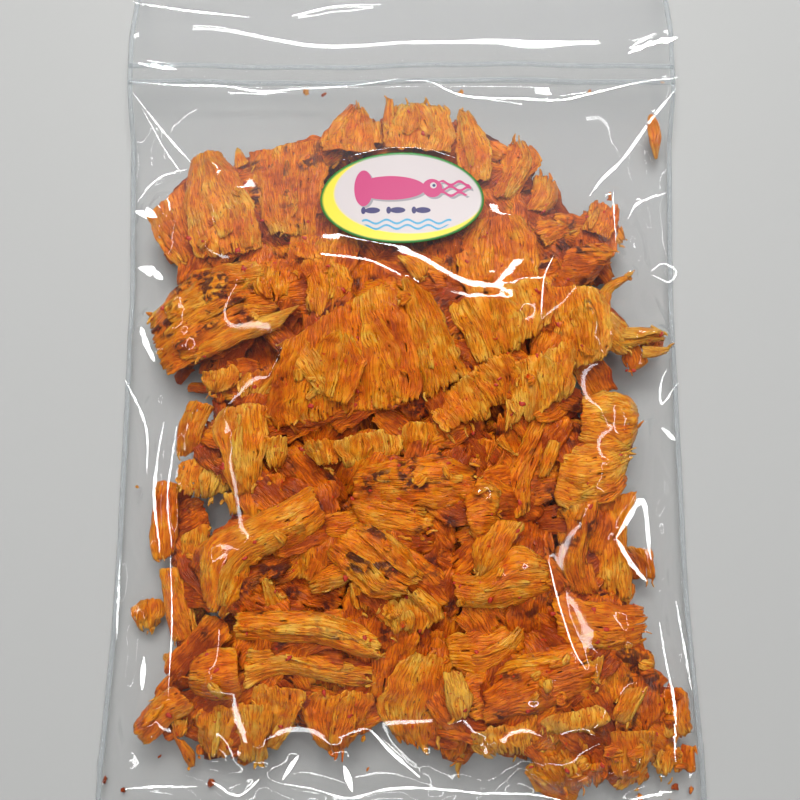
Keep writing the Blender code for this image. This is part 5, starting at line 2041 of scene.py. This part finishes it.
@dataclass(frozen=True)
class FilmFinish:
    """Clear plastic: what is behind it shows, with gloss on top and a little milk in it.

    mirror is its share of gloss seen square on. milk is the share of white in it, from its foot
    to past its middle, and milk_and_sheen_at_zip the share that it rises to on the way to the zip,
    where the film stands off the squid; on the clear film that extra white is painted reflection
    of the pale room. crinkle is the strength of its fine crinkles.
    """

    name: str
    mirror: float
    roughness: float
    milk: float
    milk_and_sheen_at_zip: float
    tint: tuple
    crinkle: float
    white: tuple = (0.9, 0.92, 0.95, 1.0)
    crinkle_height: float = 0.4
    milk_rise: tuple = (22.0, 62.0)
    slant_power: float = 5.0

    def build(self) -> bpy.types.Material:
        """The plastic: clear mixed with a little white, under gloss that grows at a slant.

        Returns:
            The material.
        """
        material, g, out = new_material(self.name)
        place = g.add("ShaderNodeTexCoord").outputs["Object"]
        crinkle = g.add("ShaderNodeGroup", node_tree=crinkle_group())
        g.join(place, crinkle.inputs["Place"])
        normal = g.bump(crinkle.outputs["Height"], self.crinkle, self.crinkle_height * MM)
        facing = g.add("ShaderNodeLayerWeight", {"Normal": normal}).outputs["Facing"]
        slope = g.maths("POWER", facing, self.slant_power)
        mirror = g.maths("MULTIPLY_ADD", slope, 1.0 - self.mirror, self.mirror)
        # Painted reflection: the white rises towards the zip, where the film stands off the squid.
        start, end = (y * MM for y in self.milk_rise)
        milk = g.span(g.split(place)["Y"], start, end, (self.milk, self.milk_and_sheen_at_zip))
        clear = g.add("ShaderNodeBsdfTransparent", {"Color": self.tint}).outputs["BSDF"]
        white = g.add("ShaderNodeBsdfDiffuse", {"Color": self.white}).outputs["BSDF"]
        milky = g.add("ShaderNodeMixShader", {0: milk, 1: clear, 2: white}).outputs["Shader"]
        given = {"Roughness": self.roughness, "Normal": normal}
        gloss = g.add("ShaderNodeBsdfGlossy", given).outputs["BSDF"]
        mix = g.add("ShaderNodeMixShader", {0: mirror, 1: milky, 2: gloss})
        g.join(mix.outputs["Shader"], out.inputs["Surface"])
        return material


class Stencil(Graph):
    """A graph that also draws the print's shapes as masks, in millimetres."""

    def __init__(self, tree: bpy.types.NodeTree) -> None:
        """Starts on a tree, with the group that draws ovals."""
        super().__init__(tree)
        self.ovals = self.oval_group()

    @staticmethod
    def oval_group() -> bpy.types.NodeTree:
        """A node group: 1 inside an oval and 0 outside it, with a soft edge.

        Returns:
            The group, with a place, a centre and two radii as its inputs.
        """
        tree = bpy.data.node_groups.new("oval_mask", "ShaderNodeTree")
        for name in ("Place", "Centre", "Radii"):
            tree.interface.new_socket(name, in_out="INPUT", socket_type="NodeSocketVector")
        tree.interface.new_socket("Mask", in_out="OUTPUT", socket_type="NodeSocketFloat")
        g = Graph(tree)
        given = g.add("NodeGroupInput").outputs
        moved = g.vectors("SUBTRACT", given["Place"], given["Centre"])
        reach = g.vectors("LENGTH", g.vectors("DIVIDE", moved, given["Radii"]), out="Value")
        g.add("NodeGroupOutput", {"Mask": g.span(reach, 1.02, 0.98)})
        return tree

    def oval(self, at: object, x: float, y: float, wide: float, high: float) -> object:
        """An oval's mask.

        Args:
            at: the place.
            x: the oval's middle across.
            y: its middle upwards.
            wide: its radius across.
            high: its radius upwards.

        Returns:
            The mask.
        """
        node = self.add("ShaderNodeGroup", node_tree=self.ovals)
        for name, value in (("Place", at), ("Centre", (x, y, 0.0)), ("Radii", (wide, high, 1.0))):
            self.join(value, node.inputs[name])
        return node.outputs["Mask"]

    def either(self, *masks: object) -> object:
        """A mask that is there where any of the masks is.

        Args:
            masks: the masks.

        Returns:
            The highest of them at each place.
        """
        found = masks[0]
        for mask in masks[1:]:
            found = self.maths("MAXIMUM", found, mask)
        return found

    def line(self, at: object, level: float, swing: float, pitch: float, width: float) -> object:
        """A wavy line's mask.

        Args:
            at: the place.
            level: the line's height.
            swing: how far it waves up and down.
            pitch: the length of one wave.
            width: half the line's thickness.

        Returns:
            The mask, with a soft edge.
        """
        parts = self.split(at)
        wave = self.maths("SINE", self.maths("MULTIPLY", parts["X"], 2 * math.pi / pitch))
        off = self.maths("SUBTRACT", parts["Y"], self.maths("MULTIPLY_ADD", wave, swing, level))
        return self.span(self.maths("ABSOLUTE", off), width * 1.15, width * 0.85)

    def squid(self, at: object) -> object:
        """A small squid's mask: a body of three ovals and arms that wave.

        Args:
            at: the place.

        Returns:
            The mask.
        """
        lines = [self.line(at, y, s, 6.0, 0.5) for y, s in ((5.6, 0.7), (3.6, -0.7), (1.6, 0.7))]
        arms = self.maths("MULTIPLY", self.either(*lines), self.oval(at, 17.0, 3.6, 6.5, 3.6))
        ovals = ((-4.0, 12.0, 4.4), (-13.0, 3.2, 6.6), (10.2, 3.4, 3.4))
        return self.either(*[self.oval(at, x, 3.6, wide, high) for x, wide, high in ovals], arms)


@dataclass(frozen=True)
class LabelFinish:
    """The sticker's print: a rim, two fields and simple shapes, with no lettering.

    Ovals are given by their middle and their two radii, in millimetres from the label's middle.
    """

    ground: tuple = linear(208, 197, 196)
    rim: tuple = linear(62, 138, 62)
    yellow: tuple = linear(244, 220, 30)
    magenta: tuple = linear(200, 24, 110)
    grey: tuple = linear(150, 146, 150)
    cyan: tuple = linear(60, 160, 200)
    navy: tuple = linear(44, 34, 104)
    border: float = 0.9
    roughness: float = 0.35
    inner: tuple = (2.6, 2.0, 25.6, 15.2)
    wave: tuple = (0.7, 7.0, 0.4)
    wave_levels: tuple = (-8.8, -10.8)
    wave_area: tuple = (1.5, -8.0, 15.0, 5.4)
    shadow_shift: tuple = (-0.7, 0.7, 0.0)
    eye: tuple = (10.6, 4.6, 1.1, 1.1)
    pupil: tuple = (10.8, 4.6, 0.55, 0.55)
    fish_at: tuple = (-10.0, -1.5, 7.0)
    fish: tuple = (-4.6, 2.6, 1.1)
    tail: tuple = (-4.6, 0.8, 1.3)
    tail_behind: float = 3.0

    def build(self) -> bpy.types.Material:
        """The print, laid out in millimetres from the label's middle.

        Returns:
            The material.
        """
        material, plain, out = new_material("label_print")
        g = Stencil(plain.tree)
        uv = g.add("ShaderNodeUVMap", uv_map="fibres").outputs["UV"]
        place = g.add("ShaderNodeVectorMath", {0: uv, "Scale": UV_SIZE}, operation="SCALE").outputs[0]
        paper = g.oval(place, 0.0, 0.0, *(size / 2 - self.border for size in LABEL_SIZE))
        colour = g.blend(g.oval(place, *self.inner), self.yellow, self.ground)
        waves = g.either(*[g.line(place, level, *self.wave) for level in self.wave_levels])
        waves = g.maths("MULTIPLY", waves, g.oval(place, *self.wave_area))
        colour = g.blend(waves, colour, self.cyan)
        colour = g.blend(g.squid(g.vectors("ADD", place, self.shadow_shift)), colour, self.grey)
        colour = g.blend(g.squid(place), colour, self.magenta)
        colour = g.blend(g.oval(place, *self.eye), colour, self.ground)
        colour = g.blend(g.oval(place, *self.pupil), colour, self.navy)
        fish = [g.oval(place, x, *self.fish) for x in self.fish_at]
        tails = [g.oval(place, x - self.tail_behind, *self.tail) for x in self.fish_at]
        colour = g.blend(g.either(*fish, *tails), colour, self.navy)
        colour = g.blend(paper, self.rim, colour)
        given = {"Base Color": colour, "Roughness": self.roughness}
        shader = g.add("ShaderNodeBsdfPrincipled", given)
        g.join(shader.outputs["BSDF"], out.inputs["Surface"])
        return material


@dataclass(frozen=True)
class SoftLight:
    """A rectangle of light: its name, its bearing from the zip's side, its height and power.

    azimuth turns from +Y towards -X and elevation rises from the floor, both in degrees; size
    is its width and height in millimetres and power is in watts. in_gloss and in_dull tell
    whether it shows in glossy surfaces and whether it lights dull ones.
    """

    name: str
    azimuth: float
    elevation: float
    size: tuple[float, float]
    power: float
    in_gloss: bool = True
    in_dull: bool = True


@dataclass(frozen=True)
class Studio:
    """The plain pale floor, the soft light from beyond the zip, and the camera over the bag."""

    aim: tuple = (-0.5, -11.0, 12.0)
    tilt: float = 10.0
    distance: float = 320.0
    span: float = 274.4
    sensor: float = 36.0
    lights: tuple = (
        SoftLight("window", 0.0, 40.0, (640.0, 130.0), 8.8, in_dull=False),
        SoftLight("daylight", 0.0, 55.0, (640.0, 320.0), 6.8, in_gloss=False),
        SoftLight("left_strip", 80.0, 46.0, (900.0, 40.0), 1.6, in_dull=False),
        SoftLight("right_strip", -80.0, 46.0, (900.0, 40.0), 1.6, in_dull=False),
        SoftLight("foot_strip", 180.0, 22.0, (900.0, 60.0), 3.4, in_dull=False),
        SoftLight("ceiling", 0.0, 80.0, (1100.0, 1100.0), 11.0, in_gloss=False),
    )
    light_distance: float = 1200.0
    sky: tuple = (0.90, 0.95, 1.0, 1.0)
    sky_strength: float = 0.22
    zenith_share: float = 0.12
    zenith_fade: tuple = (0.93, 0.70)
    floor_size: float = 4000.0
    floor_drop: float = 0.05
    floor_roughness: float = 0.6
    nearest: float = 0.01
    floor_colour: tuple = linear(186, 186, 184)

    def build(self) -> None:
        """Sets up the floor, the lights, the sky and the camera."""
        self.floor()
        for kind in self.lights:
            self.light(kind)
        self.world()
        self.camera()

    def floor(self) -> None:
        """A wide pale floor just under the bag."""
        half = self.floor_size / 2
        corners = np.array([[-half, -half, 0], [half, -half, 0], [half, half, 0], [-half, half, 0.0]])
        corners[:, 2] = -self.floor_drop
        skin = Skin(corners, np.array([[0, 1, 2, 3]]), corners[:, :2] / UV_SIZE)
        finish = PlainFinish("pale_floor", self.floor_colour, self.floor_roughness)
        skin.to_object("pale_floor", finish.build())

    @staticmethod
    def bearing(kind: SoftLight) -> Vector:
        """The way from the bag to a light, as a step of length 1.

        Args:
            kind: the light.

        Returns:
            The step, with z up.
        """
        up, round_ = math.radians(kind.elevation), math.radians(kind.azimuth)
        flat = math.cos(up)
        return Vector((-math.sin(round_) * flat, math.cos(round_) * flat, math.sin(up)))

    def place(self, kind: SoftLight) -> Vector:
        """Where a light's middle is, in millimetres."""
        return Vector(self.aim) + self.bearing(kind) * self.light_distance

    def eye(self) -> Vector:
        """Where the camera is, in millimetres."""
        tilt = math.radians(self.tilt)
        return Vector(self.aim) + Vector((0.0, -math.sin(tilt), math.cos(tilt))) * self.distance

    def light(self, kind: SoftLight) -> None:
        """One soft rectangle of light that faces the bag.

        Args:
            kind: the light.
        """
        lamp = bpy.data.lights.new(kind.name, "AREA")
        lamp.shape = "RECTANGLE"
        lamp.size, lamp.size_y = (s * MM for s in kind.size)
        lamp.energy = kind.power
        thing = bpy.data.objects.new(kind.name, lamp)
        thing.location = self.place(kind) * MM
        thing.rotation_euler = self.bearing(kind).to_track_quat("Z", "Y").to_euler()
        thing.visible_glossy = kind.in_gloss
        thing.visible_diffuse = kind.in_dull
        bpy.context.scene.collection.objects.link(thing)

    def world(self) -> None:
        """A pale sky, dimmer overhead, where the camera is."""
        world = bpy.data.worlds.new("pale_sky")
        world.use_nodes = True
        g = Graph(world.node_tree)
        height = g.split(g.add("ShaderNodeTexCoord").outputs["Generated"])["Z"]
        share = g.span(height, *self.zenith_fade, (self.zenith_share, 1.0))
        sky = world.node_tree.nodes["Background"]
        sky.inputs["Color"].default_value = self.sky
        g.join(g.maths("MULTIPLY", share, self.sky_strength), sky.inputs["Strength"])
        bpy.context.scene.world = world
        bpy.context.scene.view_settings.view_transform = "Standard"

    def camera(self) -> None:
        """The camera, looking down at the bag from a little towards its foot."""
        back = (self.eye() - Vector(self.aim)).normalized()
        lens = bpy.data.cameras.new("camera")
        lens.sensor_width = self.sensor
        lens.lens = self.sensor * self.distance / self.span
        lens.clip_start = self.nearest
        thing = bpy.data.objects.new("camera", lens)
        thing.location = self.eye() * MM
        thing.rotation_euler = back.to_track_quat("Z", "Y").to_euler()
        bpy.context.scene.collection.objects.link(thing)
        bpy.context.scene.camera = thing


class FilmFolds:
    """The sharp folds of the film: rows of small flat facets along the creases that shine."""

    THICKNESS = 0.06
    LIFT = 0.3
    FACET = 4.0
    CELLS = 4
    WAVER = 2.5
    WAVER_ROW = 3.5
    END = 0.01

    def __init__(self, film: FilmEnvelope, studio: Studio, seed: int) -> None:
        """Notes where the camera and the lights that show in gloss are.

        Args:
            film: the film that the facets stand on.
            studio: the camera and the lights.
            seed: where the chances start.
        """
        self.film = film
        self.eye = np.array(studio.eye())
        self.lamps = [np.array(studio.place(kind)) for kind in studio.lights if kind.in_gloss]
        self.rng = np.random.default_rng(seed)
        self.object: bpy.types.Object | None = None

    def halfway(self, places: np.ndarray, lamp: np.ndarray) -> np.ndarray:
        """The way that a facet at each place has to face to throw a lamp's light to the eye."""
        return unit(unit(self.eye - places) + unit(lamp - places))

    def nearest_lamp(self, places: np.ndarray) -> np.ndarray:
        """The lamp that the film at these places comes closest to throwing to the eye.

        Args:
            places: x, y and z along one fold.

        Returns:
            The middle of that lamp.
        """
        x, y = places[:, 0], places[:, 1]
        reach, film = self.FACET / 2, self.film.front
        east = (film.at(x + reach, y) - film.at(x - reach, y)) / self.FACET
        north = (film.at(x, y + reach) - film.at(x, y - reach)) / self.FACET
        face = unit(np.stack([-east, -north, np.ones_like(x)], axis=-1))
        fits = [np.sum(face * self.halfway(places, lamp)) for lamp in self.lamps]
        return self.lamps[int(np.argmax(fits))]

    def facets(self, crease: Crease) -> list[Skin]:
        """The facets of one fold, laid end to end along it.

        Args:
            crease: the fold.

        Returns:
            One thin flat plate for each facet. It stands on the film at its middle and faces
            halfway between a light and the camera. The row's width wavers and fades to nothing
            at both ends.
        """
        knots = np.array(crease.path)
        steps = np.hypot(*np.diff(knots, axis=0).T)
        travel = np.concatenate([[0.0], np.cumsum(steps)]) / steps.sum()
        count = max(int(steps.sum() / self.FACET), 2)
        u = np.linspace(0.0, 1.0, count * self.CELLS + 1)
        line = np.stack([spline(travel, knots[:, k], u) for k in (0, 1)], axis=-1)
        ahead = unit(np.gradient(line, axis=0))
        left = np.stack([-ahead[:, 1], ahead[:, 0]], axis=-1)
        waver = 0.75 + 0.4 * Noise(self.rng).at(u * steps.sum() / self.WAVER, self.WAVER_ROW)
        inside = np.clip(u, self.END, 1.0 - self.END)
        width = crease.shine * waver * np.sqrt(np.sin(np.pi * inside))
        v = np.array([-0.5, 0.5])[None, :, None]
        flat = line[:, None, :] + left[:, None, :] * v * width[:, None, None]
        height = self.film.front.at(line[:, 0], line[:, 1])
        places = np.concatenate([line, height[:, None]], axis=-1)
        lamp = self.nearest_lamp(places)
        found = []
        for k in range(count):
            rows = slice(k * self.CELLS, (k + 1) * self.CELLS + 1)
            middle = places[rows].mean(axis=0)
            face = self.halfway(middle, lamp)
            z = middle[2] + self.LIFT - (flat[rows] - middle[:2]) @ face[:2] / face[2]
            top = np.concatenate([flat[rows], z[..., None]], axis=-1)
            found.append(plate(top, top - face * self.THICKNESS))
        return found

    def build(self, material: bpy.types.Material) -> None:
        """Makes the facets of all creases that shine as one mesh."""
        skins = [skin for crease in CREASES if crease.shine > 0.0 for skin in self.facets(crease)]
        self.object = Skin.joined(skins).to_object("film_folds", material, smooth=False)


def main() -> None:
    """Builds the bag, its contents and the studio around them."""
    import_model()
    squid = SquidFinish().build()
    chilli = PlainFinish("chilli", colour=linear(196, 44, 6), roughness=0.4).build()
    clean = (0.99, 0.99, 0.99, 1.0)
    grey = (0.84, 0.86, 0.86, 1.0)
    # On the clear film the white that rises to the zip is painted reflection.
    clear = FilmFinish(
        "clear_film", mirror=0.042, roughness=0.05, milk=0.001, milk_and_sheen_at_zip=0.04, tint=clean, crinkle=0.07
    ).build()
    sharp = FilmFinish(
        "fold_film", mirror=0.06, roughness=0.05, milk=0.001, milk_and_sheen_at_zip=0.001, tint=clean, crinkle=0.0
    ).build()
    milky = FilmFinish(
        "zip_plastic", mirror=0.02, roughness=0.5, milk=0.14, milk_and_sheen_at_zip=0.14, tint=grey, crinkle=0.05
    ).build()

    heap = SquidHeap(seed=11)
    heap.build(squid)
    film = FilmEnvelope(heap, seed=3)
    film.settle()
    film.build(clear)
    studio = Studio()
    folds = FilmFolds(film, studio, seed=17)
    folds.build(sharp)
    mouth = ZipMouth(film)
    mouth.build(milky)
    crumbs = Crumbs(heap, seed=21)
    crumbs.build(squid, chilli)
    label = Label(film)
    label.build(LabelFinish().build())

    parts = [*heap.objects, film.object, folds.object, *mouth.objects, *crumbs.objects]
    for thing in parts:
        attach(thing, BODY)
        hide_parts(BAG_NODE)
    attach(label.object, BODY)
    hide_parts(LABEL_NODE)

    studio.build()


if __name__ == "__main__":
    main()
